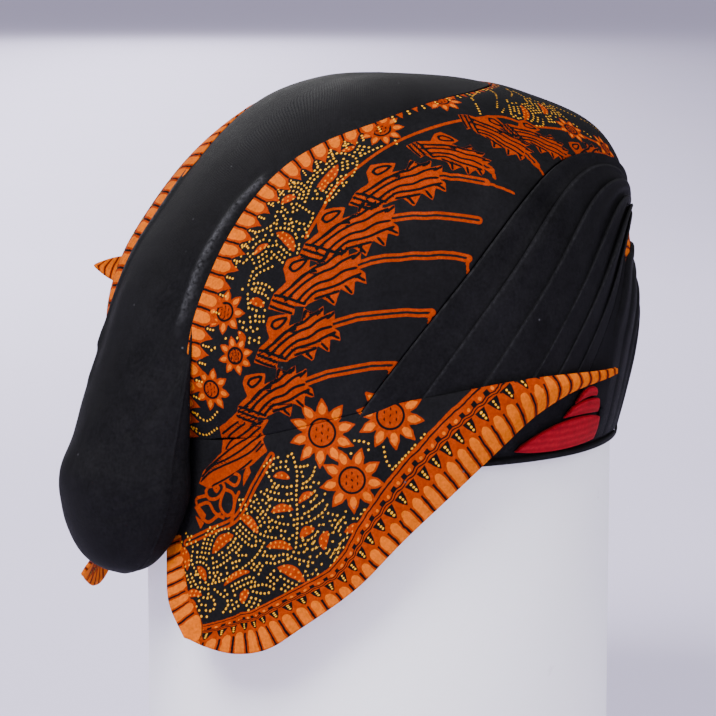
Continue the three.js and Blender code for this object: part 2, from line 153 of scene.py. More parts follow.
def buildShell(name, inner, outer, wrap=False, coarse=4, bulge=0.35):
    rows, cols = outer.shape[:2]
    rowPick = steps(rows, coarse)
    colPick = steps(cols, coarse) if not wrap else np.arange(0, cols, coarse)
    innerPick = inner[np.ix_(rowPick, colPick)]
    if wrap:                                     # boundary loops as row and column numbers
        loops = [[(r, c) for c in range(cols)] for r in (0, rows - 1)]
    else:
        path = [(0, c) for c in range(cols)] + [(r, cols - 1) for r in range(1, rows)]
        path += [(rows - 1, c) for c in range(cols - 2, -1, -1)] + [(r, 0) for r in range(rows - 2, 0, -1)]
        loops = [path]
    outerCount = rows * cols
    points = [outer.reshape(-1, 3)]
    outerId = np.arange(outerCount).reshape(rows, cols)
    innerId = outerCount + np.arange(innerPick.shape[0] * innerPick.shape[1]).reshape(innerPick.shape[:2])
    points.append(innerPick.reshape(-1, 3))
    total = outerCount + innerPick.shape[0] * innerPick.shape[1]
    right = np.roll(outerId, -1, 1) if wrap else outerId[:, 1:]
    left = outerId if wrap else outerId[:, :-1]
    quads = np.stack([left[:-1], right[:-1], right[1:], left[1:]], -1).reshape(-1, 4)
    faces = quads.tolist()
    right = np.roll(innerId, -1, 1) if wrap else innerId[:, 1:]
    left = innerId if wrap else innerId[:, :-1]
    faces += np.stack([left[:-1], left[1:], right[1:], right[:-1]], -1).reshape(-1, 4).tolist()
    rowAt = {int(r): i for i, r in enumerate(rowPick)}
    colAt = {int(c): i for i, c in enumerate(colPick)}
    ringOf = []
    for n, path in enumerate(loops):
        index = np.array(path)
        edge, under = outer[index[:, 0], index[:, 1]], inner[index[:, 0], index[:, 1]]
        deepCol = index[:, 1] if wrap else np.clip(index[:, 1], 1, cols - 2)
        deep = np.stack([np.clip(index[:, 0], 1, rows - 2), deepCol], 1)
        push = edge - outer[deep[:, 0], deep[:, 1]]
        push /= np.linalg.norm(push, axis=1, keepdims=True) + 1e-9
        ring = (edge + under) / 2 + push * bulge
        points.append(ring)
        ringId = total + np.arange(len(path))
        total += len(path)
        ringOf.append((index, ringId))
        flip = wrap and n == 1
        count = len(path)
        for k in range(count):
            m = (k + 1) % count
            quad = [int(ringId[k]), int(ringId[m]), int(outerId[tuple(index[m])]),
                    int(outerId[tuple(index[k])])]
            faces.append(quad[::-1] if flip else quad)
        keys = [k for k in range(count) if int(index[k][0]) in rowAt and int(index[k][1]) in colAt]
        for i, k in enumerate(keys):
            m = keys[(i + 1) % len(keys)]
            span = [(k + x) % count for x in range((m - k) % count + 1)]
            at = lambda q: int(innerId[rowAt[int(index[q][0])], colAt[int(index[q][1])]])
            face = [at(k), at(m)] + [int(ringId[q]) for q in reversed(span)]
            faces.append(face[::-1] if flip else face)
    verts = np.concatenate(points)
    mesh = bpy.data.meshes.new(name)
    mesh.from_pydata(toFrame(verts).tolist(), [], faces)
    mesh.update()
    obj = bpy.data.objects.new(name, mesh)
    bpy.context.scene.collection.objects.link(obj)
    mesh.calc_loop_triangles()
    tri = np.empty(len(mesh.loop_triangles) * 3, int)
    mesh.loop_triangles.foreach_get("vertices", tri)
    corner = verts[tri.reshape(-1, 3)] - verts.mean(0)
    if np.einsum("ij,ij->i", corner[:, 0], np.cross(corner[:, 1], corner[:, 2])).sum() < 0:
        mesh.flip_normals()
    mesh.polygons.foreach_set("use_smooth", np.ones(len(mesh.polygons), bool))
    return obj, ringOf, total, np.ix_(rowPick, colPick)


# three numbers a point; the inner face is bare unless inside is set
def storeField(built, name, values, inside=False):
    obj, rings, total, pick = built
    grid = values.reshape(-1, 3)
    full = np.full((total, 3), 99.0)
    full[:len(grid)] = grid
    if inside:
        under = values[pick].reshape(-1, 3)
        full[len(grid):len(grid) + len(under)] = under
    cols = values.shape[1]
    for index, ringId in rings:
        full[ringId] = grid[index[:, 0] * cols + index[:, 1]]
    field = obj.data.attributes.new(name, "FLOAT_VECTOR", "POINT")
    field.data.foreach_set("vector", full.astype(np.float32).ravel())


def clothRun(grid, share=0):                     # run along and across the cloth in millimetres
    along = np.concatenate([np.zeros((1, grid.shape[1])), np.cumsum(np.linalg.norm(np.diff(grid, axis=0),
        axis=-1), 0)])
    across = np.concatenate([np.zeros((len(grid), 1)), np.cumsum(np.linalg.norm(np.diff(grid, axis=1),
        axis=-1), 1)], 1)
    return np.stack([along, across, along * 0 + share], -1)


def mirrored(points):
    return points * np.array([-1, 1, 1])


def finishPiece(obj, node, material, body="root"):
    obj.data.materials.append(material)
    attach(obj, body)
    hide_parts(node)


def surfaceArea(grid):
    a, b = grid[:-1, :-1], grid[:-1, 1:]
    c, d = grid[1:, :-1], grid[1:, 1:]
    cross = lambda p, q, r: np.linalg.norm(np.cross(q - p, r - p), axis=-1).sum() / 2
    return (cross(a, b, c) + cross(b, d, c)) * 1e-6


sheetLimits = {"side": .011, "areaShare": .31}


def declareSheet(obj, grid):
    area = surfaceArea(grid)
    long = np.linalg.norm(np.diff(grid, axis=0), axis=-1).sum(0).max() * 1e-3
    wide = np.linalg.norm(np.diff(grid, axis=1), axis=-1).sum(1).max() * 1e-3
    wide, long = max(wide, sheetLimits["side"]), max(long, sheetLimits["side"])
    round(max(area, sheetLimits["areaShare"] * wide * long), 6)


# Curves that the side pieces share

folds = {
    "first": dict(start=.487, azGather=342, tGather=.46, azPull=290, tPull=.95, azFoot=226),
    "last": dict(start=.478, azGather=339, tGather=.436, azPull=313.2, tPull=.555, azFoot=276),
    "places": [0, .2, .42, .67, .81, .92],    # shares across the fan
    "sway": .022,
    "rise": 1.7,
    "lip": 1.0,            # how far a fold's edge laps over the one above
}
brow = {
    "first": dict(start=.465, azGather=343, tGather=.375, azPull=305, tPull=.53, azFoot=297),
    "last": dict(start=.09, azGather=359, tGather=.085, azPull=359.6, tPull=.07, azFoot=359.8),
    "gather": .24,
    "folds": 10,
    "rise": 1.1,
}
tongueEdge = [(360, .88), (328, .865), (291.5, .832), (262, .794), (240, .741), (222, .687), (211, .625),
              (204.5, .545), (201.6, .465), (200.2, .385), (198.6, .3), (197.2, .2), (195, .1),
              (193.5, hat["hemShare"])]


def foldCurve(f, s, tFoot):                      # a fold starts at the front, gathers and runs to its foot
    s = np.asarray(s, float)
    hook = 0.125
    k = s / hook
    straight = disc(mix(360, f["azGather"], k), mix(f["start"], f["tGather"], k))
    t = lambda q: (1 - q) ** 2 * f["tGather"] + 2 * q * (1 - q) * f["tPull"]
    low, high = np.full_like(s, .5), np.ones_like(s)
    for _ in range(24):
        q = (low + high) / 2
        above = t(q) > tFoot
        low, high = np.where(above, q, low), np.where(above, high, q)
    q = low * (s - hook) / (1 - hook)
    az = (1 - q) ** 2 * f["azGather"] + 2 * q * (1 - q) * f["azPull"] + q * q * f["azFoot"]
    return np.where((s < hook)[..., None], straight, disc(az, t(q)))


def fanFold(k, s):
    row = {key: mix(folds["first"][key], folds["last"][key], k) for key in folds["first"]}
    return foldCurve(row, s, mix(hat["hemShare"], 0.165, ease(0.35, 0.7, k)))


def browFold(k, s):
    row = {key: mix(brow["first"][key], brow["last"][key], k) for key in brow["first"]}
    row["start"] = brow["gather"] + 0.23 * (1 - k) ** 2.5 - 0.15 * k ** 2.5
    return foldCurve(row, s, hat["hemShare"])


def inset(curve, s, side):                       # place beside a curve, kept off the centre line
    e = 0.004
    place, before, after = curve(s), curve(np.maximum(0, s - e)), curve(np.minimum(1, s + e))
    way = after - before
    way /= np.hypot(way[..., 0], way[..., 1])[..., None] + 1e-12
    out = place + side * np.stack([-way[..., 1], way[..., 0]], -1)
    out[..., 0] = np.minimum(out[..., 0], -hat["joint"])
    return out


edgeRows = np.array([disc(az, t) for az, t in tongueEdge])
edgeFine = tableAt(edgeRows, np.linspace(0, 1, 600))
edgeRun = np.concatenate([[0], np.cumsum(np.hypot(*np.diff(edgeFine, axis=0).T))])


def panelEdge(s):                                # up the front, round the tongue and down the back
    s = np.asarray(s, float)
    c = hat["centreShare"]
    b = mix(-0.47, edgeRows[0][1], s / c)
    run = np.clip((s - c) / (1 - c), 0, 1) * edgeRun[-1]
    far = np.stack([np.interp(run, edgeRun, edgeFine[:, 0]), np.interp(run, edgeRun, edgeFine[:, 1])], -1)
    return np.where((s < c)[..., None], np.stack([b * 0, b], -1), far)


# Materials. The bench adds nodes to a material or a group and joins them.

finish = {
    "black": (.0038, .0037, .0043), "blackLight": (.0092, .0090, .0102), "rust": (.25, .024, .0005),
    "rustDeep": (.19, .016, .0005),
    "rustLight": (.31, .033, .001), "orange": (.50, .098, .0002), "orangeDeep": (.42, .072, .0002),
    "orangeLight": (.58, .12, .0004),
    "yellow": (.64, .29, .01), "dotOnLeaf": (.56, .15, .002), "red": (.30, .005, .013),
    # the last colour on the next line is a painted highlight on black cloth, and partly wear on the tongue's
    # crest
    "redDeep": (.14, .002, .005), "wearAndHighlight": (.055, .055, .06),
    "white": (.93, .93, .95), "thread": .42, "toothPitch": 5.62, "panelPitch": 6.4,
}
borderWidth = 22.7


class Bench:
    def __init__(self, tree):
        self.tree, self.count = tree, 0

    def add(self, kind, **settings):
        node = self.tree.nodes.new(kind)
        node.location = (180 * (self.count % 14), -170 * (self.count // 14))
        self.count += 1
        for key, value in settings.items():
            setattr(node, key, value)
        return node

    def join(self, value, socket):
        if isinstance(value, bpy.types.NodeSocket):
            self.tree.links.new(value, socket)
        else:
            isColor = isinstance(value, tuple) and len(value) == 3 and socket.type == "RGBA"
            socket.default_value = (*value, 1) if isColor else value

    def math(self, operation, *values, clamp=False):
        node = self.add("ShaderNodeMath", operation=operation, use_clamp=clamp)
        for value, socket in zip(values, node.inputs):
            self.join(value, socket)
        return node.outputs[0]

    def under(self, value, limit, soft=.09):         # 1 where the value is under the limit
        return self.math("MULTIPLY_ADD", self.math("SUBTRACT", limit, value), .5 / soft, .5, clamp=True)

    def all(self, *masks):
        total = masks[0]
        for mask in masks[1:]:
            total = self.math("MULTIPLY", total, mask)
        return total

    def any(self, *masks):
        total = masks[0]
        for mask in masks[1:]:
            total = self.math("MAXIMUM", total, mask)
        return total

    def tint(self, share, a, b, blend="MIX"):
        node = self.add("ShaderNodeMix", data_type="RGBA", blend_type=blend)
        for value, socket in ((share, node.inputs[0]), (a, node.inputs[6]), (b, node.inputs[7])):
            self.join(value, socket)
        return node.outputs[2]

    def noise(self, place, scale, detail=2, rough=.5):
        node = self.add("ShaderNodeTexNoise")
        self.join(place, node.inputs["Vector"])
        node.inputs["Scale"].default_value, node.inputs["Detail"].default_value = scale, detail
        node.inputs["Roughness"].default_value = rough
        return node.outputs[0]

    def field(self, name):
        node = self.add("ShaderNodeAttribute", attribute_type="GEOMETRY", attribute_name=name)
        return node.outputs["Vector"]

    def parts(self, vector):
        node = self.add("ShaderNodeSeparateXYZ")
        self.join(vector, node.inputs[0])
        return node.outputs

    def group(self, tree, **values):
        node = self.add("ShaderNodeGroup", node_tree=tree)
        for key, value in values.items():
            self.join(value, node.inputs[key])
        return node.outputs


def makeGroup(name, inputs, outputs, build):
    tree = bpy.data.node_groups.new(name, "ShaderNodeTree")
    for label, kind, value in inputs:
        socket = tree.interface.new_socket(name=label, in_out="INPUT", socket_type=kind)
        if value is not None:
            socket.default_value = value
    for label, kind in outputs:
        tree.interface.new_socket(name=label, in_out="OUTPUT", socket_type=kind)
    bench = Bench(tree)
    start, end = bench.add("NodeGroupInput"), bench.add("NodeGroupOutput")
    for label, value in build(bench, start.outputs).items():
        bench.join(value, end.inputs[label])
    return tree


# Plain weave: threads cross over and under, with uneven yarn and a few specks of lint
def buildWeave(bench, given):
    x, y, _ = bench.parts(given["Cloth"])
    pitch = given["Thread"]
    u, v = bench.math("DIVIDE", x, pitch), bench.math("DIVIDE", y, pitch)
    warp = bench.math("ABSOLUTE", bench.math("SINE", bench.math("MULTIPLY", u, math.pi)))
    weft = bench.math("ABSOLUTE", bench.math("SINE", bench.math("MULTIPLY", v, math.pi)))
    turn = bench.math("MODULO", bench.math("ADD", bench.math("FLOOR", u), bench.math("FLOOR", v)), 2.0)
    turn = bench.math("ABSOLUTE", turn)
    over = bench.math("ADD", bench.math("MULTIPLY", warp, turn),
                      bench.math("MULTIPLY", weft, bench.math("SUBTRACT", 1.0, turn)))
    yarn = bench.noise(given["Place"], 900, 2)
    soft = bench.noise(given["Place"], 42, 3)
    wide = bench.noise(given["Place"], 260, 3, .6)
    height = bench.math("ADD", bench.math("MULTIPLY", over, .3), bench.math("MULTIPLY", yarn, 1.1))
    tone = bench.math("MULTIPLY_ADD", soft, .6, -.65)
    tone = bench.math("ADD", bench.math("MULTIPLY_ADD", wide, .6, tone), bench.math("MULTIPLY", yarn, 1.1))
    cell = bench.add("ShaderNodeTexVoronoi", feature="F1")
    bench.join(given["Place"], cell.inputs["Vector"])
    cell.inputs["Scale"].default_value = 105
    speck = bench.under(cell.outputs["Distance"], .035, .02)
    chosen = bench.under(bench.noise(given["Place"], 60, 0), .43, .02)
    return {"Height": height, "Tone": tone, "Lint": bench.all(speck, chosen)}


weave = makeGroup("plain weave", [("Cloth", "NodeSocketVector", None), ("Place", "NodeSocketVector", None),
                                  ("Thread", "NodeSocketFloat", finish["thread"])],
                  [("Height", "NodeSocketFloat"), ("Tone", "NodeSocketFloat"), ("Lint", "NodeSocketFloat")],
                  buildWeave)


# Printed border: long orange teeth between black bars, dark points, a wavy cord and a row of beads
def borderBuilder(pitch, full):
    def build(bench, given):
        along, y = given["Along"], given["Across"]
        wob = bench.math("SUBTRACT", bench.noise(given["Place"], 330, 2), .5)
        along = bench.math("MULTIPLY_ADD", wob, .9, along)
        y = bench.math("MULTIPLY_ADD", bench.math("SUBTRACT", bench.noise(given["Place"], 210, 2), .5), 1.1,
                       y)
        saw = lambda shift: bench.math("MULTIPLY", bench.math("SUBTRACT", bench.math(
            "FRACT", bench.math("ADD", bench.math("DIVIDE", along, pitch), shift)), .5), pitch)
        tooth, bar = bench.math("ABSOLUTE", saw(.5)), bench.math("ABSOLUTE", saw(0.0))
        cap = bench.math("DIVIDE", bench.math("SUBTRACT", y, 7.6), 3.4, clamp=True)
        half = bench.math("MULTIPLY", bench.math("SQRT", bench.math("SUBTRACT", 1.0, bench.math("MULTIPLY",
            cap, cap))), pitch * .315)
        orange = bench.under(tooth, half)
        orange = bench.all(orange, bench.under(y, 11.0))
        black = bench.all(bench.under(bar, .4), bench.under(y, 9.6))
        if full:
            rise = bench.math("DIVIDE", bench.math("SUBTRACT", y, 11.1), 5.0, clamp=True)
            point = bench.all(bench.under(bar, bench.math("MULTIPLY", bench.math("POWER", rise, .6), 2.1)),
                              bench.under(11.1, y), bench.under(y, 16.1))
            wave = bench.math("MULTIPLY", bench.math("COSINE", bench.math("MULTIPLY", bar,
                2 * math.pi / pitch)), .33)
            cordAt = bench.math("SUBTRACT", y, wave)
            cord = bench.under(bench.math("ABSOLUTE", bench.math("SUBTRACT", cordAt, 16.85)), .24)
            scallop = bench.under(bench.math("ABSOLUTE", bench.math("SUBTRACT", cordAt, 17.85)), .26)
            block = bench.all(bench.under(bar, .95), bench.under(17.8, y), bench.under(y, 19.6))
            line = bench.under(bench.math("ABSOLUTE", bench.math("SUBTRACT", y, 21.3)), .3)
            black = bench.any(black, point, cord, scallop, block, line)
            bead = bench.math("SQRT", bench.math("ADD", bench.math("POWER", tooth, 2.0), bench.math("POWER",
                bench.math("SUBTRACT", y, 18.75), 2.0)))
            orange = bench.any(orange, bench.under(bead, .62))
            cover = bench.under(y, borderWidth)
            dotLow, dotHigh = 11.9, 15.7
        else:
            rise = bench.math("DIVIDE", bench.math("SUBTRACT", y, 9.6), 5.2, clamp=True)
            gap = bench.under(bar, bench.math("MULTIPLY", bench.math("POWER", rise, .7), pitch / 2))
            cover = bench.all(bench.under(y, 14.9), bench.math("SUBTRACT", 1.0, bench.all(gap,
                bench.under(9.6, y))))
            dotLow, dotHigh = 10.6, 14.4
        row = bench.math("SUBTRACT", bench.math("FRACT", bench.math("DIVIDE", bench.math("SUBTRACT", y,
            dotLow), 1.27)), .5)
        spot = bench.math("SQRT", bench.math("ADD", bench.math("POWER", bench.math("MULTIPLY", row, 1.27),
            2.0), bench.math("POWER", bar, 2.0)))
        yellow = bench.all(bench.under(spot, .44), bench.under(dotLow, y), bench.under(y, dotHigh))
        color = bench.tint(orange, given["Ground"], finish["orange"])
        color = bench.tint(black, color, finish["black"])
        color = bench.tint(yellow, color, finish["yellow"])
        return {"Color": color, "Cover": bench.any(cover, yellow) if not full else cover}
    return build


borderInputs = [("Along", "NodeSocketFloat", 0), ("Across", "NodeSocketFloat", 0),
                ("Place", "NodeSocketVector", None),
                ("Ground", "NodeSocketColor", (*finish["rust"], 1))]
borderOutputs = [("Color", "NodeSocketColor"), ("Cover", "NodeSocketFloat")]
wideBorder = makeGroup("wide border", borderInputs, borderOutputs, borderBuilder(finish["toothPitch"], True))
narrowBorder = makeGroup("narrow border", borderInputs, borderOutputs,
                         borderBuilder(finish["panelPitch"], False))


def startMaterial(name, rough, sheen=0.0, gloss=.12):
    mat = bpy.data.materials.new(name)
    mat.use_nodes = True
    shader = mat.node_tree.nodes["Principled BSDF"]
    shader.inputs["Roughness"].default_value = rough
    shader.inputs["Specular IOR Level"].default_value = gloss
    if sheen:
        shader.inputs["Sheen Weight"].default_value = sheen
        shader.inputs["Sheen Roughness"].default_value = .45
    bench = Bench(mat.node_tree)
    bench.count = 4
    place = bench.add("ShaderNodeTexCoord").outputs["Object"]
    return mat, shader, bench, place


def finishCloth(bench, shader, color, woven, strength, distance=.0001, lint=(.06, .06, .065), tone=.55):
    shade = bench.math("MULTIPLY_ADD", woven["Tone"], tone * 2, 1 - tone)
    shadeColor = bench.add("ShaderNodeCombineColor")
    for socket in shadeColor.inputs:
        bench.join(shade, socket)
    color = bench.tint(1.0, color, shadeColor.outputs[0], "MULTIPLY")
    color = bench.tint(woven["Lint"], color, lint)
    bench.join(color, shader.inputs["Base Color"])
    bench.join(bench.math("MULTIPLY_ADD", woven["Tone"], .25, shader.inputs["Roughness"].default_value - .12),
               shader.inputs["Roughness"])
    bump = bench.add("ShaderNodeBump")
    bump.inputs["Strength"].default_value, bump.inputs["Distance"].default_value = strength, distance
    bench.join(woven["Height"], bump.inputs["Height"])
    bench.join(bump.outputs[0], shader.inputs["Normal"])


def mottled(bench, place, low, high, scale=170):
    return bench.tint(bench.noise(place, scale, 3, .6), low, high)


def blackMaterial():
    mat, shader, bench, place = startMaterial("black cloth", .62, .001, .02)
    cloth = bench.field("clothField")
    woven = bench.group(weave, Cloth=cloth, Place=place)
    # the light grey blended in along the pleat lips is a painted highlight; along the tongue's roll crest it
    # is partly wear and partly painted highlight
    wearAndHighlight = bench.math("MULTIPLY", bench.parts(cloth)[2], bench.under(.5, bench.noise(place, 620, 3, .7), .16))
    color = bench.tint(wearAndHighlight, mottled(bench, place, finish["black"], finish["blackLight"], 60), finish["wearAndHighlight"])
    finishCloth(bench, shader, color, woven, .6, .00016)
    return mat


def batikMaterial(name, border):
    mat, shader, bench, place = startMaterial(name, .8, .001, .022)
    woven = bench.group(weave, Cloth=bench.field("clothField"), Place=place)
    rustT, rustD, rustArea = bench.parts(bench.field("rustField"))
    inkT, inkD, orangeArea = bench.parts(bench.field("inkField"))
    dotD, leafD, _ = bench.parts(bench.field("dotField"))
    along, across, zone = bench.parts(bench.field("edgeField"))
    wobble = bench.math("SUBTRACT", bench.noise(place, 520, 2), .5)
    line = lambda t, guard: bench.all(bench.under(bench.math("ABSOLUTE",
                                                             bench.math("MULTIPLY_ADD", wobble, .5, t)), 1.0,
                                                             .16), bench.under(guard, .66, .05))
    area = lambda d: bench.under(bench.math("MULTIPLY_ADD", wobble, .55, d), 0.0)
    dots = bench.under(bench.math("MULTIPLY_ADD", wobble, .3, dotD),
                       bench.math("MULTIPLY_ADD", area(leafD), -.04, .46))
    rustColor = mottled(bench, place, finish["rustDeep"], finish["rustLight"], 240)
    orangeColor = mottled(bench, place, finish["orangeDeep"], finish["orangeLight"], 200)
    color = mottled(bench, place, finish["black"], finish["blackLight"], 60)
    color = bench.tint(bench.any(line(rustT, rustD), area(rustArea)), color, rustColor)
    color = bench.tint(area(orangeArea), color, orangeColor)
    color = bench.tint(bench.all(line(inkT, inkD), area(rustArea)), color, finish["black"])
    color = bench.tint(dots, color, bench.tint(area(leafD), finish["yellow"], finish["dotOnLeaf"]))
    edge = bench.group(border, Along=along, Across=across, Place=place, Ground=rustColor)
    cover = edge["Cover"]
    if border is wideBorder:                      # beside the bulb only the teeth and one dark line remain
        strip = bench.under(across, 11.6)
        cover = bench.math("MULTIPLY", cover, bench.any(bench.math("SUBTRACT", 1.0, zone), strip))
        dark = bench.all(bench.under(.5, zone, .05), bench.under(10.9, across), strip)
        color = bench.tint(cover, color, bench.tint(dark, edge["Color"], finish["black"]))
    else:
        color = bench.tint(cover, color, edge["Color"])
    finishCloth(bench, shader, color, woven, .6, tone=.38)
    return mat


def stripMaterial(name, along, across):
    mat, shader, bench, place = startMaterial(name, .8, .001, .022)
    cloth = bench.field("clothField")
    woven = bench.group(weave, Cloth=cloth, Place=place)
    x, y, share = bench.parts(cloth)
    rustColor = mottled(bench, place, finish["rustDeep"], finish["rustLight"], 240)
    edge = bench.group(narrowBorder, Along=bench.math("MULTIPLY", x, along),
                       Across=bench.math("ADD", y, across), Place=place, Ground=rustColor)
    plain = mottled(bench, place, finish["black"], finish["blackLight"], 60)
    color = bench.tint(bench.all(edge["Cover"], bench.under(share, .60, .02)), plain, edge["Color"])
    finishCloth(bench, shader, color, woven, .6, tone=.38)
    return mat


def redMaterial():
    mat, shader, bench, place = startMaterial("red lining", .7, .006, .03)
    woven = bench.group(weave, Cloth=bench.field("clothField"), Place=place)
    x, y, _ = bench.parts(bench.field("clothField"))
    rib = bench.math("SINE", bench.math("MULTIPLY", bench.math("MULTIPLY_ADD", bench.noise(place, 120, 2),
        1.6, x), 2.4))
    color = bench.tint(bench.math("MULTIPLY_ADD", rib, .22, .55), finish["redDeep"], finish["red"])
    finishCloth(bench, shader, color, woven, .6, lint=(.4, .2, .2), tone=.4)
    return mat


def whiteMaterial():
    mat, shader, bench, place = startMaterial("white cylinder", .46, 0, .4)
    fine, cloud = bench.noise(place, 1400, 2), bench.noise(place, 26, 3)
    color = bench.tint(cloud, (.90, .90, .925), finish["white"])
    scuff = bench.under(bench.noise(place, 95, 4, .7), .30, .02)
    bench.join(bench.tint(bench.math("MULTIPLY", scuff, .35), color, (.70, .69, .71)),
               shader.inputs["Base Color"])
    bench.join(bench.math("MULTIPLY_ADD", cloud, .18, .38), shader.inputs["Roughness"])
    bump = bench.add("ShaderNodeBump")
    bump.inputs["Strength"].default_value, bump.inputs["Distance"].default_value = .25, .00008
    bench.join(fine, bump.inputs["Height"])
    bench.join(bump.outputs[0], shader.inputs["Normal"])
    return mat


def floorMaterial():
    mat, shader, bench, place = startMaterial("pale floor", .7)
    bench.join(bench.tint(bench.noise(place, 3, 2), (.77, .71, .965), (.79, .73, .98)),
               shader.inputs["Base Color"])
    return mat


printPitch = 1.62
blackCloth = blackMaterial()
flapCloth, panelCloth = batikMaterial("batik flap cloth", wideBorder), batikMaterial("batik cloth",
    narrowBorder)
stripCloth = stripMaterial("batik edge strip", 1.0, 2.0)
tipCloth = stripMaterial("batik corner", 2.4, 0.0)
redCloth, whiteBoard, paleFloor = redMaterial(), whiteMaterial(), floorMaterial()
print("materials done")

layer, cloth, joint = hat["layer"], hat["cloth"], hat["joint"]

# Crown under the cloth

crown = {"around": 144, "up": 60, "wall": 1.8, "ease": 0.5}


def makeCrown():
    t = np.linspace(0, 1, crown["up"])[:, None] * 0.995
    az = np.arange(crown["around"])[None] * 360 / crown["around"]
    place = disc(az + t * 0, t + az * 0)
    outer = skin(place, -crown["ease"] * ease(.45, .6, t + az * 0))
    inner = skin(place, -crown["wall"] + az * 0 + t * 0)
    outer[0, :, 2] = inner[0, :, 2] = 0
    built = buildShell("crownShell", inner, outer, wrap=True, coarse=3, bulge=0)
    storeField(built, "clothField", clothRun(outer), True)
    finishPiece(built[0], "crown", blackCloth)


makeCrown()

# Hem round the rim

hem = {"around": 288, "up": 12}


def makeHem():
    share = np.linspace(0, 1, hem["up"])[:, None]
    az = np.arange(hem["around"])[None] * 360 / hem["around"]
    t = share * (hat["hemShare"] - 0.013) + az * 0
    place = disc(az + share * 0, t)
    roll = np.sqrt(np.clip(1 - (2 * share - 1) ** 4, 0, 1))
    front = ease(.25, .75, np.cos(np.radians(az)))      # the brow cloth turns under there
    outer = skin(place, layer + 0.2 * (1 - front) + (cloth + 0.1) * (1 - .75 * front) * roll)
    inner = skin(place, layer - 0.5 + az * 0 + share * 0)
    outer[0, :, 2] = inner[0, :, 2] = 0.1
    built = buildShell("rimHem", inner, outer, wrap=True, coarse=3, bulge=0.2)
    storeField(built, "clothField", clothRun(outer), True)
    finishPiece(built[0], "rim_hem", blackCloth)


makeHem()

# The print. A canvas holds, for every point of a piece's outer face, distances in millimetres to
# the printed areas and lines; the materials turn these into crisp shapes.

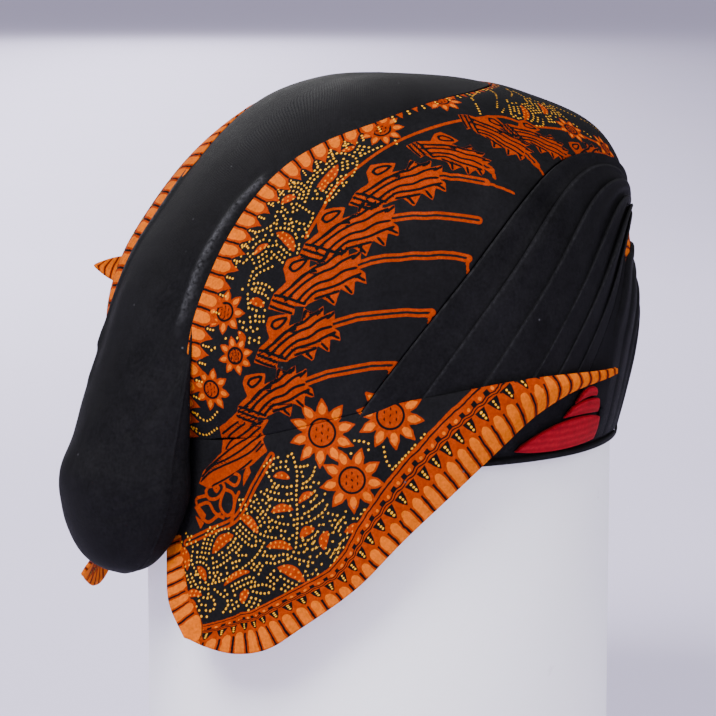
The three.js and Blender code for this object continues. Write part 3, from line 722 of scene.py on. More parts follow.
# Places on the panel are disc places times 100, places on the flap are shares of its grid times 100.
# They were picked by hand on the photo, and a separate script turned them into these units.
printPlan = {
    "panelFlowers": [((-30.2, 60.2), 8.3, 8), ((-37.7, 65.7), 7.2, 8), ((-33.6, 75.7), 8.2, 8),
                     ((-24.6, 13.7), 8.4, 9), ((-20.0,
        1.0), 8.2, 9), ((-22.6, -20.5), 7, 8), ((-22.9, -29.0), 7, 8)],
    "panelLeaves": [((-30.1, 42.2), (-36.4, 41.8), 3.8), ((-28.9, 48.5), (-30.2, 44.9), 2.4),
                    ((-34.4, 54.9), (-38.4, 53.4),
        3.0), ((-25.8, 38.2), (-27.4, 35.0), 3.2), ((-30.5, 30.9), (-29.5, 28.2), 3.0),
        ((-35.8, 61.0), (-38.7,
        62.4), 2.6), ((-28.0, 24.5), (-29.6, 30.8), 4.2), ((-18.6, -12.8), (-24.3, -12.1), 3.0),
        ((-14.9, -16.4),
        (-20.2, -16.4), 3.0), ((-26.0, 19.7), (-25.4, 22.4), 2.6)],
    "panelVines": [[(-34.6, 40.1), (-29.6, 38.5), (-24.9, 38.1), (-23.9, 34.5)],
                   [(-25.8, 45.6), (-27.8, 42.9), (-28.5, 40.0),
        (-30.1, 36.7)], [(-27.5, 49.1), (-30.6, 49.5), (-31.9, 52.6), (-33.9, 55.0), (-37.4, 57.9)],
        [(-27.9, 50.8),
        (-29.3, 47.1), (-32.1, 43.9)], [(-34.4, 47.2), (-32.6, 50.4), (-32.7, 53.1)],
        [(-34.4, 53.0), (-37.6, 51.7),
        (-39.1, 53.2)], [(-26.8, 52.4), (-25.2, 49.4), (-26.8, 45.8)],
        [(-34.7, 36.9), (-33.5, 35.0), (-29.0, 36.0)],
        [(-30.8, 68.3), (-33.4, 65.3), (-36.3, 62.4)], [(-27.4, 83.8), (-33.1, 83.3), (-37.3, 78.3)],
        [(-26.6, 88.1),
        (-32.1, 87.4), (-37.8, 82.3)], [(-33.6, 37.4), (-34.2, 35.0), (-31.9, 34.8), (-30.7, 36.3)],
        [(-24.9, 26.9),
        (-25.3, 23.4), (-28.5, 21.3), (-31.3, 23.2), (-32.7, 26.7)],
        [(-27.8, 14.8), (-26.8, 12.9), (-29.1, 13.3)],
        [(-28.6, 21.1), (-28.5, 17.0), (-28.5, 13.4)], [(-18.0, -5.4), (-12.7, -9.0), (-15.2, -9.8), (-21.6,
            -8.0)],
        [(-25.1, -3.9), (-21.8, -4.4), (-19.2, -4.8)], [(-23.0, -8.4), (-13.4, -12.6), (-9.9, -12.8)],
        [(-13.3,
        -15.3), (-23.6, -15.2), (-25.1, -13.7)], [(-13.8, -18.6), (-18.7, -20.4), (-22.5, -25.7)],
        [(-10.7, -13.5),
        (-14.3, -15.1), (-13.8, -18.6), (-14.7, -23.2), (-15.1, -28.8)]],
    "arc": [(-36.1, 38.6), (-34.1, 32.7), (-31.9, 28.3), (-30.8, 22.2), (-28.8, 14.2), (-27.1, 4.8),
            (-25.9, -1.9),
        (-24.5, -7.8), (-25.5, -12.8), (-23.5, -19.9), (-23.0, -26.2), (-18.4, -36.3)],
    "heads": [((-56.6, 56.7), (-68.4, 34.9), (-68.9, 36.9), 0.88),
              ((-53.1, 44.0), (-63.1, 22.2), (-64.6, 23.6), 0.9),
        ((-47.6, 32.9), (-56.1, 10.7), (-58.6, 11.6), 1.0), ((-43.8, 22.6), (-49.8, 6.3), (-49.8, 6.3), 1.0),
        ((-39.1, 10.3), (-42.2, 2.2), (-44.9, -2.9), 0.95), ((-38.3, 1.2), (-39.5, 0.2), (-41.5, 0.1), 0.8),
        ((-34.7,
        -8.7), (-37.5, -10.1), (-39.9, -11.0), 0.8), ((-32.3, -17.3), (-32.9, -18.1), (-32.4, -18.7), 0.75),
        ((-27.0,
        -27.1), (-25.7, -29.8), (-23.9, -34.3), 0.7)],
    "flapFlowers": [((65.4, 5.4), 12.5, 10), ((52.0, 6.7), 12.3, 10), ((59.1, 36.2), 11.8, 9)],
    "flapLeaves": [((75.5, 19.5), (71.0, 22.8), 2.6), ((68.6, 36.2), (65.7, 33.6), 2.6),
                   ((74.9, 36.2), (69.4, 38.3), 3.0),
        ((82.6, 35.6), (77.0, 45.6), 3.6), ((88.4, 55.0), (83.4, 45.0), 4.4),
        ((75.2, 52.3), (68.6, 57.7), 3.2),
        ((67.5, 53.7), (64.9, 52.3), 3.2), ((63.3, 66.4), (62.8, 57.0), 3.4),
        ((72.0, 63.8), (65.7, 77.9), 4.2),
        ((85.2, 69.1), (78.6, 62.4), 2.4), ((91.8, 63.1), (89.4, 69.1), 2.8),
        ((80.7, 77.2), (79.2, 71.1), 3.2),
        ((96.0, 55.7), (94.2, 66.4), 3.4), ((95.5, 77.9), (90.5, 75.2), 3.0),
        ((95.5, 79.9), (92.1, 82.6), 3.0),
        ((60.2, 62.4), (56.5, 69.1), 3.6)],
    "flapVines": [[(71.0, 13.4), (69.7, 21.5), (69.1, 32.9), (68.3, 43.0), (68.1, 51.7), (68.1, 58.4)],
                  [(77.0, 17.4), (75.2,
        22.8), (71.8, 26.8), (69.7, 26.8)], [(77.8, 26.2), (74.7, 30.9), (71.2, 33.6), (69.1, 33.6)],
        [(69.7, 27.5),
        (67.3, 27.5), (66.2, 24.8), (66.0, 21.5)], [(69.1, 34.2), (67.0, 35.6), (65.4, 33.6), (64.9, 30.2)],
        [(79.2,
        27.5), (76.5, 36.2), (73.4, 42.3), (68.3, 47.7)], [(81.3, 31.5), (79.2, 41.6), (75.7, 47.7), (71.0,
            51.7)],
        [(68.6, 43.0), (66.2, 43.0), (63.9, 40.3)], [(68.1, 47.7), (65.7, 48.3), (63.6, 46.3), (63.1, 43.6)],
        [(88.9,
        70.5), (84.4, 66.4), (79.7, 60.4), (77.0, 55.7), (75.7, 51.0)],
        [(95.3, 49.0), (93.1, 55.0), (93.4, 61.7),
        (91.3, 67.8), (88.9, 70.5), (85.0, 74.5)], [(62.8, 17.4), (59.1, 21.5), (56.5, 22.8), (54.6, 23.5)],
        [(59.9,
        13.4), (57.0, 17.4), (54.6, 24.2)], [(53.6, 22.1), (52.8, 36.2), (51.2, 47.0)],
        [(51.2, 42.3), (48.8, 37.6),
        (45.6, 29.5)], [(72.6, 16.8), (72.6, 12.1), (71.5, 11.4)], [(69.1, 18.8), (67.3, 19.5), (67.3, 16.1)],
        [(62.8, 48.3), (60.9, 52.3), (59.4, 51.7)], [(88.9, 74.5), (87.3, 77.2), (87.9, 81.2), (89.7, 81.9)],
        [(84.4,
        74.5), (83.9, 77.9), (85.2, 81.2)], [(78.4, 70.5), (75.2, 70.5), (72.6, 74.5), (75.2, 74.5), (77.8,
            72.5)],
        [(77.6, 55.7), (73.4, 58.4), (70.2, 59.7), (67.0, 65.8), (62.0, 77.2)],
        [(64.1, 52.3), (62.3, 55.0), (60.7,
        63.1), (60.9, 72.5)]],
    "cornerLine": [(76.5, 10.1), (79.7, 22.1), (83.1, 37.6), (89.2, 45.0), (95.0, 53.7)],
    "figure": [(87.1, 23.5), (79.4, 24.8)],
    "dotPitch": printPitch, "rowPitch": 1.8, "firstRow": 1.55,
}

# Plume at the end of each rod, from the rod's start, in millimetres
plume = {
    "outline": [(-33.1, -10.5), (-30.5, -5.6), (-25.6, -2.3), (-26.4, 3), (-24.8, 6), (-20.3, 6.4),
                (-15.8, 6),
                (-17.3, 1.5), (-12, 3), (-10.5, 7.5), (-6.8, 5.3), (-2.6, 7.5), (-3, 3.8), (1.5, 5.3),
                (1.1, 1.9),
                (0, .8), (0, -1.1), (2.3, -3), (2.3, -6.8), (-1.5, -5.3), (-2.6, -10.5), (-6.8, -7.5),
                (-9.4, -13.2),
                (-13.6, -9.8), (-18.8, -11.3), (-19.6, -12), (-23.3, -11.3), (-24.1, -14.3), (-27.9, -12.8)],
    "ink": [[(-32, -9.8), (-29, -11.6), (-25, -13.4)], [(-31, -7.9), (-27, -10), (-23.4, -11.8)],
            [(-30, -6.2), (-26, -7.9), (-20, -11)], [(-28.5, -6.8), (-23.3, -3.8), (-18.8, -.8), (-15, 1.2),
                                                     (-11.3, 2.2), (-7.5, 4.5), (-4, 5.6)],
            [(-26.4, -8.7), (-21.8, -5.3), (-17.3, -2.6), (-12.8, -.8), (-9, .1), (-5.3, 2.2), (-1.5, 3.5)],
            [(-22.6, -9.8), (-18.8, -6.8), (-14.3, -4.5), (-9.8, -3.8), (-5.3, -1.5), (-.8, -.8)],
            [(-19.6, -10.2), (-15.8, -7.5), (-11.3, -6.8), (-7.5, -6), (-3.8, -4.5), (.5, -3.2)],
            [(-15.8, -9.8), (-11.3, -9), (-7.5, -8.3)], [(-24.2, 2.6), (-22.6, 4.4), (-17.9, 4.8), (-19.6,
                2.6), (-22.6, 1.1), (-24.2, 2.6)],
            [(-10.3, 6.2), (-11.3, 4)], [(-3.4, 6.4), (-5.3, 4.6)], [(1, 4.4), (-1.4, 2.6)],
            [(1.6, -5.4), (-.8, -3.9)],
            [(-3.2, -9.2), (-4.9, -7)], [(-9.8, -11.8), (-11.3, -9.9)], [(-24, -4), (-19, -.6), (-15, 0)],
            [(-14, 2.6), (-11.5, 4), (-9.5, 6.5)], [(-8, 5.8), (-5.5, 6.4)]],
}

# Winged figure low on the side of the hat, in millimetres about its middle
figure = {
    "areas": [[(-14, 1.7), (-11.9, 6), (-2.5, 12.8), (-1.7, 20.4), (1.7, 22.1), (7.7, 25.9), (8.5, 22.1),
               (14.5, 24.7), (13.6, 21.3),
               (19.6, 22.5), (15.3, 17.9), (17.4, 13.6), (11, 8.5), (4.2, 6), (0, 2.6), (-8.5, 0)],
              [(7.7, 5.1), (9.4, 9.4), (11, 6), (9.8, 4.3), (7.7, .8)],
              [(-16.2, -6.8), (-11, -11.9), (-9.4, -9.4), (-13.6, -6)],
              [(-15.7, -9.4), (-12.3, -14.5), (-10.6, -12.3)]],
    "ink": [[(-12.8, 2.6), (-7.7, 6), (-.9, 8.5), (6, 11), (11, 13.6), (14.5, 17)],
            [(-12.3, 4.3), (-6.8, 8.1), (0, 10.6), (6, 13.6), (11, 17), (15.3, 19.6)],
            [(-10.2, 6.8), (-1.4, 12.3), (3.4, 15.3), (8.5, 17.9), (12.8, 20.4)],
            [(-.4, 14.5), (1.7, 17), (6, 19.6), (9.4, 21.3)],
            [(-.9, 17.9), (3.4, 20.4), (6.8, 22.1)], [(-6.8, 1), (0, 3.8), (6, 6.8), (11, 10.2)],
            [(13, 13.5), (15.5, 16)], [(11.5, 20), (16.5, 21.6)]],
    "lines": [[(-10.2, -.9), (-6.8, 2.6), (-2.6, 2.6), (-.9, 0), (-4.3, -3.4), (-8.5, -3.4), (-10.2, -.9)],
              [(-.9, 0), (3.4, -1.7), (3.8, -6.8), (.9, -9.4), (-2.6, -6), (-.9, 0)],
              [(-13.2, -6), (-8.5, -5.1), (-5.1, -8.5), (-.9, -10.2)],
              [(-15.3, -4.3), (-13.6, -8.5), (-8.5, -11.9), (-2.6, -8.9)],
              [(0, 3), (2.1, 5.5), (6, 4.7), (4.3, 1.3), (0, 3)],
              [(-14.5, -3.4), (-10.2, -2.6)], [(-6, .4), (-4.6, 1.2), (-3.6, .2), (-4.6, -1), (-5.6, -.4)],
              [(6, -1), (4.5, -4), (3, -12)]],
}


def newCanvas(grid):
    n = np.cross(np.gradient(grid, axis=1), np.gradient(grid, axis=0))
    n /= np.linalg.norm(n, axis=-1, keepdims=True) + 1e-9
    n *= np.sign((n * grid * np.array([1, 1, .3])).sum(-1, keepdims=True))
    count = grid.shape[0] * grid.shape[1]
    far = lambda: np.full(count, 99.0)
    return {"points": grid.reshape(-1, 3), "normals": n.reshape(-1, 3), "shape": grid.shape[:2],
            "rustArea": far(), "orangeArea": far(), "rustT": far(), "rustD": far(), "inkT": far(),
            "inkD": far(),
            "dotD": far(), "leaf": far(), "dots": [], "leafDots": [], "closed": np.zeros(count, bool)}


def lineDistance(points, line, normals):         # distance to a line, its side and the run along it
    best = np.full(len(points), 1e9)
    signed, run = np.zeros(len(points)), np.zeros(len(points))
    done = 0
    for a, b in zip(line[:-1], line[1:]):
        e = b - a
        long = np.linalg.norm(e)
        w = points - a
        h = np.clip(w @ e / (long * long + 1e-12), 0, 1)
        v = w - h[:, None] * e
        d = np.linalg.norm(v, axis=1)
        near = d < best
        side = np.sign(np.einsum("ij,ij->i", np.cross(normals, e), v))
        best[near], signed[near], run[near] = d[near], (d * side)[near], (done + h * long)[near]
        done += long
    return best, signed, run


# distance to an outline, negative inside, and the run round it
def areaDistance(points, outline):
    flat = np.column_stack([points, np.zeros(len(points))]) if points.shape[1] == 2 else points
    loop = np.array([(*p[:2], 0) for p in outline] + [(*outline[0][:2], 0)], float)
    best, _, run = lineDistance(flat, loop, np.tile([0, 0, 1.0], (len(flat), 1)))
    inside = np.zeros(len(flat), bool)
    x, y = flat[:, 0], flat[:, 1]
    for (x1, y1, _), (x2, y2, _) in zip(loop[:-1], loop[1:]):
        crossing = ((y1 > y) != (y2 > y)) & (x < (x2 - x1) * (y - y1) / (y2 - y1 + 1e-12) + x1)
        inside ^= crossing
    return np.where(inside, -best, best), run


def drawLine(canvas, index, kind, best, signed, half, double=0):     # kept where it is the nearest line
    if double:
        signed = np.abs(signed) - double
        best = np.abs(signed)
    near = best < canvas[kind + "D"][index]
    pick = index[near]
    canvas[kind + "D"][pick] = best[near]
    canvas[kind + "T"][pick] = signed[near] / half


def spread(line, gap):                           # points at even steps along a line
    run = runOf(line)
    at = np.linspace(0, run[-1], max(2, int(round(run[-1] / gap)) + 1))
    return np.stack([np.interp(at, run, line[:, k]) for k in range(line.shape[1])], 1)


# left out where a dot or a shape is too near
def drawDots(canvas, index, points, centres, room, clash="dots"):
    for centre in centres:
        d = np.sqrt(((points - centre) ** 2).sum(1))
        nearest = index[d.argmin()]
        spot = canvas["points"][nearest]
        if d.min() > .7 or canvas["closed"][nearest]:
            continue
        if canvas[clash] and np.min(((np.array(canvas[clash]) - spot) ** 2).sum(1)) < room * room:
            continue
        canvas[clash].append(spot)
        close = d < 4
        canvas["dotD"][index[close]] = np.minimum(canvas["dotD"][index[close]], d[close])


def around(canvas, low, high, margin):
    p = canvas["points"]
    return np.nonzero(np.all((p > low - margin) & (p < high + margin), axis=1))[0]


def smoothLine(points, step=1.2):
    points = np.asarray(points, float)
    if len(points) < 3:
        return points
    long = np.linalg.norm(np.diff(points, axis=0), axis=1).sum()
    return tableAt(points, np.linspace(0, 1, max(4, int(long / step))))


def localFrame(canvas, centre, toward, reach):
    p = canvas["points"]
    index = np.nonzero(((p - centre) ** 2).sum(1) < reach * reach)[0]
    if not len(index):
        return index, None
    n = canvas["normals"][index[((p[index] - centre) ** 2).sum(1).argmin()]]
    x = toward - n * (toward @ n)
    x /= np.linalg.norm(x)
    rel = p[index] - centre
    return index, np.stack([rel @ x, rel @ np.cross(n, x)], 1)


def stampArea(canvas, index, xy, outline, kind="rustArea", scale=1):
    d, run = areaDistance(xy / scale, outline)
    canvas[kind][index] = np.minimum(canvas[kind][index], d * scale)
    return d * scale, run * scale


def stampLine(canvas, index, xy, line, kind, half, scale=1):
    flat = np.column_stack([xy / scale, np.zeros(len(xy))])
    path = smoothLine([(*p, 0) for p in line], 1)
    best, signed, _ = lineDistance(flat, path, np.tile([0, 0, 1.0], (len(flat), 1)))
    drawLine(canvas, index, kind, best * scale, signed * scale, half)


def drawFlower(canvas, centre, radius, petals, turn):
    index, xy = localFrame(canvas, centre, np.array([0, 0, 1.0]), radius + 3)
    if xy is None:
        return
    outline = []
    for k in range(petals):
        for da, r in ((-.5, .56), (-.3, .76), (0, 1), (.3, .76)):
            a = (k + da + turn) * 2 * math.pi / petals
            outline.append((r * radius * math.cos(a), r * radius * math.sin(a)))
    d, _ = stampArea(canvas, index, xy, outline)
    canvas["closed"][index[d < 1.1]] = True
    for k in range(petals):
        a = (k + turn) * 2 * math.pi / petals
        drop = [(r * radius * math.cos(a + w), r * radius * math.sin(a + w)) for r, w in
                ((.5, -.1), (.6, -.17), (.7, -.16), (.86, -.02), (.86, .02), (.7, .16), (.6, .17), (.5, .1))]
        stampArea(canvas, index, xy, drop, "orangeArea")
    r = np.hypot(*xy.T)
    drawLine(canvas, index, "ink", np.abs(r - .38 * radius), r - .38 * radius, .42)
    for k in range(7):
        a, q = k * 1.05, 0 if k == 6 else .2 * radius
        stampLine(canvas, index, xy, [(q * math.cos(a) - .05, q * math.sin(a)), (q * math.cos(a) + .05,
            q * math.sin(a))], "ink", .3)


def leafShape(canvas, a, b, wide):
    long = np.linalg.norm(b - a)
    index, xy = localFrame(canvas, (a + b) / 2, b - a, long / 2 + 9)
    u = np.linspace(0, 1, 13)
    x = (u - .5) * long
    spine = .12 * long * (1 - (2 * u - 1) ** 2) - .06 * long
    side = wide / 2 * np.sin(math.pi * u) ** .75
    outline = np.array(list(zip(x, spine + side)) + list(zip(x[-2:0:-1], (spine - side)[-2:0:-1])))
    return index, xy, outline, np.stack([x, spine], 1)[1:-1]


def drawLeaf(canvas, a, b, wide):
    index, xy, outline, _ = leafShape(canvas, a, b, wide)
    if xy is not None:
        d, _ = stampArea(canvas, index, xy, outline)
        canvas["leaf"][index] = np.minimum(canvas["leaf"][index], d)


def drawLeafDots(canvas, a, b, wide, rows=3):
    index, xy, outline, spine = leafShape(canvas, a, b, wide)
    if xy is None:
        return
    for shift in (-.26, .24) if wide > 2.9 else (0,):
        drawDots(canvas, index, xy, spread(spine[1:-1] + (.8 * shift, shift * wide), 2), 1.35, "leafDots")
    loop = np.concatenate([outline, outline[:1]])
    way = np.gradient(loop, axis=0)
    out = np.stack([way[:, 1], -way[:, 0]], 1) / (np.linalg.norm(way, axis=1, keepdims=True) + 1e-9)
    out *= np.sign((out * loop).sum(1).mean())
    for row in range(rows):
        away = printPlan["firstRow"] + row * printPlan["rowPitch"]
        ring = spread(loop + out * away, printPlan["dotPitch"])
        clear = [c for c in ring if canvas["leaf"][index[((xy - c) ** 2).sum(1).argmin()]] > .95]
        drawDots(canvas, index, xy, clear, 1.42)


def drawPlume(canvas, start, toward, scale):
    index, xy = localFrame(canvas, start, toward, 37 * scale)
    if xy is None:
        return
    d, _ = stampArea(canvas, index, xy, plume["outline"], scale=scale)
    canvas["closed"][index[d < .9]] = True
    for line in plume["ink"]:
        stampLine(canvas, index, xy, line, "ink", .5 * min(1, scale + .1), scale)


def drawFigure(canvas, centre, toward):
    index, xy = localFrame(canvas, centre, toward, 32)
    if xy is None:
        return
    for area in figure["areas"]:
        d, _ = stampArea(canvas, index, xy, area)
        canvas["closed"][index[d < .9]] = True
    for line in figure["ink"]:
        stampLine(canvas, index, xy, line, "ink", .42)
    for line in figure["lines"]:
        stampLine(canvas, index, xy, line, "rust", .6)
    low = (xy[:, 1] < 3) & (xy[:, 0] < 6) & (xy[:, 1] > -13) & (xy[:, 0] > -17)
    canvas["closed"][index[low]] = True


def runOf(line):
    return np.concatenate([[0], np.cumsum(np.linalg.norm(np.diff(line, axis=0), axis=1))])


def printCanvases(panelCanvas, flapCanvas, panelSpot, flapSpot):
    both = (panelCanvas, flapCanvas)
    plan = printPlan
    for a, b, hook, scale in plan["heads"]:
        start, end, tip = panelSpot(a), panelSpot(b), panelSpot(hook)
        for canvas in both:
            drawPlume(canvas, start, end - start, scale)
        for line, double in (([start, end], .95), ([end, tip], 0)):
            ends = (a, b) if double else (b, hook)
            walk = [panelSpot(mix(np.array(ends[0]), np.array(ends[1]), w)) for w in np.linspace(0, 1, 9)]
            path = np.array(walk)
            if np.linalg.norm(path[-1] - path[0]) < .5:
                continue
            for canvas in both:
                index = around(canvas, path.min(0), path.max(0), 3)
                best, signed, _ = lineDistance(canvas["points"][index], path, canvas["normals"][index])
                drawLine(canvas, index, "rust", best, signed, .5, double)
    arc = smoothLine([panelSpot(p) for p in plan["arc"]])
    index = around(panelCanvas, arc.min(0), arc.max(0), 3)
    best, signed, _ = lineDistance(panelCanvas["points"][index], arc, panelCanvas["normals"][index])
    drawLine(panelCanvas, index, "rust", best, signed, .62)
    centre, toward = flapSpot(plan["figure"][0]), flapSpot(plan["figure"][1])
    for canvas in both:
        drawFigure(canvas, centre, toward - centre)
    corner = smoothLine([flapSpot(p) for p in plan["cornerLine"]])
    index = around(flapCanvas, corner.min(0), corner.max(0), 3)
    best, signed, _ = lineDistance(flapCanvas["points"][index], corner, flapCanvas["normals"][index])
    drawLine(flapCanvas, index, "rust", best, signed, .5, .9)
    for n, (place, radius, petals) in enumerate(plan["panelFlowers"]):
        drawFlower(panelCanvas, panelSpot(place), radius, petals, n * .37)
    for n, (place, radius, petals) in enumerate(plan["flapFlowers"]):
        for canvas in both:
            drawFlower(canvas, flapSpot(place), radius, petals, n * .31)
    for canvas, lines, spot in ((panelCanvas, plan["panelVines"], panelSpot),
                                (flapCanvas, plan["flapVines"], flapSpot)):
        for line in lines:
            path = smoothLine([spot(p) for p in line])
            index = around(canvas, path.min(0), path.max(0), 5)
            drawDots(canvas, index, canvas["points"][index], spread(path, plan["dotPitch"]), 1.3)
    for draw in (drawLeaf, drawLeafDots):
        for canvas, leaves, spot in ((panelCanvas, plan["panelLeaves"], panelSpot),
                                     (flapCanvas, plan["flapLeaves"], flapSpot)):
            for a, b, wide in leaves:
                draw(canvas, spot(a), spot(b), wide)


def storePrint(built, canvas, along, across, zone):
    shape = (*canvas["shape"], 3)
    grid = lambda *names: np.stack([canvas[n] if isinstance(n, str) else n for n in names], -1).reshape(shape)
    storeField(built, "rustField", grid("rustT", "rustD", "rustArea"))
    storeField(built, "inkField", grid("inkT", "inkD", "orangeArea"))
    storeField(built, "dotField", grid("dotD", "leaf", "closed"))
    storeField(built, "edgeField", grid(along.ravel(), across.ravel(), zone.ravel()), True)
    storeField(built, "clothField", clothRun(canvas["points"].reshape(*canvas["shape"], 3)), True)


def placeOn(grid, places):                       # finds the point of a grid nearest to a place
    flatPlaces, flatPoints = places.reshape(-1, 2), grid.reshape(-1, 3)
    return lambda p: flatPoints[((flatPlaces - np.array(p) / 100) ** 2).sum(1).argmin()]


# Side panels, which end at the seam of the flaps

flap = {
    "seam": [(-85.3, -48.3, 30.2), (-97.1, -24.1, 31), (-100.5, -2.7, 31), (-99, 13.8, 29.7),
             (-95.6, 29.2, 27.3),
             (-89.8, 43.9, 24.5), (-80.9, 58.7, 20.3), (-69.3, 72.1, 15.5), (-56.5, 81.9, 11.5),
             (-42.5, 88.8, 8.8),
             (-27, 93.8, 7.6)],
    "edge": [(-85.3, -48.3, 28.4), (-92.9, -34.3, 27), (-97.3, -19.5, 24), (-99.9, -4.1, 17.6),
             (-100.6, 8.8, 8.6),
             (-98.5, 26.4, -6), (-93.2, 43.8, -22.3), (-85.6, 59, -39.6), (-74.7, 75.2, -54.1),
             (-67.7, 84.2, -61.6),
             (-59.8, 92.3, -64.1), (-52, 99.4, -62.8), (-44.1, 105.1, -60)],
    "back": [(-27, 93.8, 7.6), (-22, 92.9, -5), (-18, 93.6, -16), (-16, 94.8, -27), (-21, 98, -38),
             (-32, 103.6, -50), (-44.1, 105.1, -60)],
    "lift": (3.5, 2.8), "flush": 0.9, "swell": 2.6, "cloth": 1.5, "rows": 150, "cols": 380,
    "border": [(0, 22.7, 1), (60, 23.4, 1), (75, 23.4, 1), (85, 22.3, 1), (95, 21.4, 1), (105, 19.5, .95),
               (120, 16, .8),
               (130, 13, .72), (140, 11.5, .68), (150, 12.3, .6), (170, 14.4, .55), (184, 14.2, .55),
               (192, 12, .55), (206, 5, .55)],
    "backStrip": 8.6, "backFrom": 39, "farTurn": 5.5,
}


def heightToShare(theta, z):
    low, high = np.zeros_like(z), np.full_like(z, .5)
    for _ in range(24):
        t = (low + high) / 2
        under = domePoint(theta, t)[..., 2] < z
        low, high = np.where(under, t, low), np.where(under, high, t)
    return low


panel = {"rows": 455, "cols": 190, "ease": 0.25, "rollHeight": 2.5, "rollWide": (8, 34), "edgeShift": 0.035,
         "lip": 0.7,
         "border": [(0, 12), (160, 12), (172, 8), (180, 6.5), (190, 4.6), (200, 3.2), (262, 3), (290, 5.5),
                    (316, 9)]}


def seamShare(theta):                            # height share of the seam of the flap
    seam = tableAt(flap["seam"], np.linspace(0, 1, 200))
    at = np.arctan2(seam[:, 0], -seam[:, 1]) % (2 * math.pi)
    order = np.argsort(at)
    z = np.interp(theta % (2 * math.pi), at[order], seam[order, 2], left=8, right=31)
    return heightToShare(theta, z)


def panelGrid(left):
    s = np.linspace(0, 1, 500)
    outerEdge, innerEdge = inset(panelEdge, s, joint), inset(lambda x: fanFold(0, x), s, -joint)
    if left:                                     # its edge lies a little further over the tongue
        b = outerEdge[:, 1]
        outerEdge[:, 0] = np.minimum(-joint, outerEdge[:, 0] + panel["edgeShift"] * ease(0, .2, b) * ease(.78,
            .5, b))
    u = np.interp(np.linspace(0, 1, panel["cols"]), [0, .34, .68, 1], [0, .25, .56, 1])[None, :, None]
    place = mix(outerEdge[:, None], innerEdge[:, None], u)
    theta = np.arctan2(place[..., 0], -place[..., 1])
    clear = (1 - np.hypot(place[..., 0], place[..., 1])) - (seamShare(theta) + .003)
    clear[:250] = 1
    final = np.empty((panel["rows"],) + place.shape[1:])
    for c in range(panel["cols"]):               # each column stops at the seam of the flap
        under = np.nonzero(clear[:, c] < 0)[0]
        end = s[-1]
        if len(under):
            k = under[0]
            w = clear[k - 1, c] / (clear[k - 1, c] - clear[k, c])
            end = mix(s[k - 1], s[k], w)
        rows = np.linspace(0, end, panel["rows"])
        final[:, c] = np.stack([np.interp(rows, s, place[:, c, 0]), np.interp(rows, s, place[:, c, 1])], -1)
    base = discPoint(final)
    reach = np.concatenate([np.zeros((len(base), 1)), np.cumsum(np.linalg.norm(np.diff(base, axis=1),
        axis=-1), 1)], 1)
    a, b = final[..., 0], final[..., 1]
    low = layer + panel["ease"]
    calm = ease(0, 6, reach) * ease(1, .95, u[..., 0])
    height = low + cloth + ripple(a * 9, b * 9, 3) * .12 * calm
    roll = np.sin(np.pi * np.clip(reach / panel["rollWide"][1], 0, 1) ** .6) * ease(0, .3,
        reach / panel["rollWide"][1] + .15)
    long = ease(-.5, -.1, b) * ease(.93, .6, b)
    height = height + (panel["rollHeight"] * mix(.35, 1, ease(.1, .45, b)) if left else .5) * roll * long
    height = height + panel["lip"] * np.exp(-(reach / 1.6) ** 2) * ease(-.1, .1, b)
    return skin(final, np.minimum(low, height - cloth)), skin(final, height), final, reach


def makePair(name, node, material, inner, outer, share=0, coarse=4, bulge=0.35):
    for side in ("right", "left"):
        turn = mirrored if side == "left" else (lambda p: p)
        built = buildShell(f"{side}{name}", turn(inner), turn(outer), coarse=coarse, bulge=bulge)
        finishPiece(built[0], f"{side}_{node}", material)
        declareSheet(built[0], outer)
        storeField(built, "clothField", clothRun(outer, share), True)


# Front pleats

pleats = {"rows": 210}


def fanGrid():
    s = np.linspace(0, 1, pleats["rows"])
    inner, outer, wearAndHighlight = [], [], []
    places = folds["places"] + [1.0]
    fade = mix(.45, 1, ease(.9, .6, s)) * ease(0, .06, s)
    sway = lambda i: folds["sway"] * ripple(s * 3.4, s * 0, 60 + i, 4) * ease(.1, .45,
        s) * (0 < i < len(places) - 1)
    for i in range(len(places) - 1):
        k0, k1 = places[i] + sway(i), places[i + 1] + sway(i + 1)
        rise = folds["rise"] * fade * (0.85 if i % 2 else 1.1) * (1 + .3 * ripple(s * 4, s * 0, 80 + i, 4))
        profile = [(0, .25, 0), (0, .12, .1), (0, -.35, .45), (0, -.95, .8), (0, -.8, .95)]
        profile += [(w, 0, h) for w, h in ((0, 1), (.06, 1.02), (.13, .98), (.22, .9), (.33, .78), (.45, .64),
                                           (.57, .49), (.68, .35), (.78, .23), (.86, .13), (.92, .07),
                                           (.96, .03))]
        if i == 0:
            profile = profile[5:]
        for w, shift, h in profile:
            k = mix(k0, k1, w)
            place = fanFold(k, s) if i or w else inset(lambda x: fanFold(0, x), s, joint)
            after, before = fanFold(np.minimum(1, k + .01), s), fanFold(np.maximum(0, k - .01), s)
            step, span = after - before, np.linalg.norm(discPoint(after) - discPoint(before), axis=-1)
            place = place + step / (span[:, None] + 1e-6) * shift * folds["lip"] * fade[:, None]
            place[:, 0] = np.minimum(place[:, 0], -joint)
            crease = ripple(k * 30, s * 5, 11 + i) * .32 * fade * ease(0, .2, w)
            # the raised lip of each fold gets a painted highlight in the cloth's colour
            wearAndHighlight.append(s * 0 + (.22 if .99 < h < 1.01 else 0))
            inner.append(skin(place, np.full_like(s, layer)))
            outer.append(skin(place, layer + cloth + rise * h + crease))
    place = inset(lambda x: fanFold(1, x), s, -joint)
    inner.append(skin(place, np.full_like(s, layer)))
    outer.append(skin(place, np.full_like(s, layer + cloth)))
    wearAndHighlight.append(s * 0)
    return np.stack(inner, 1), np.stack(outer, 1), np.stack(wearAndHighlight, 1)


fanInner, fanOuter, fanLipHighlight = fanGrid()
makePair("FrontPleats", "front_pleats", blackCloth, fanInner, fanOuter,
         share=fanLipHighlight)

# Printed strip between the pleats

strip = {"rows": 180, "cols": 28}


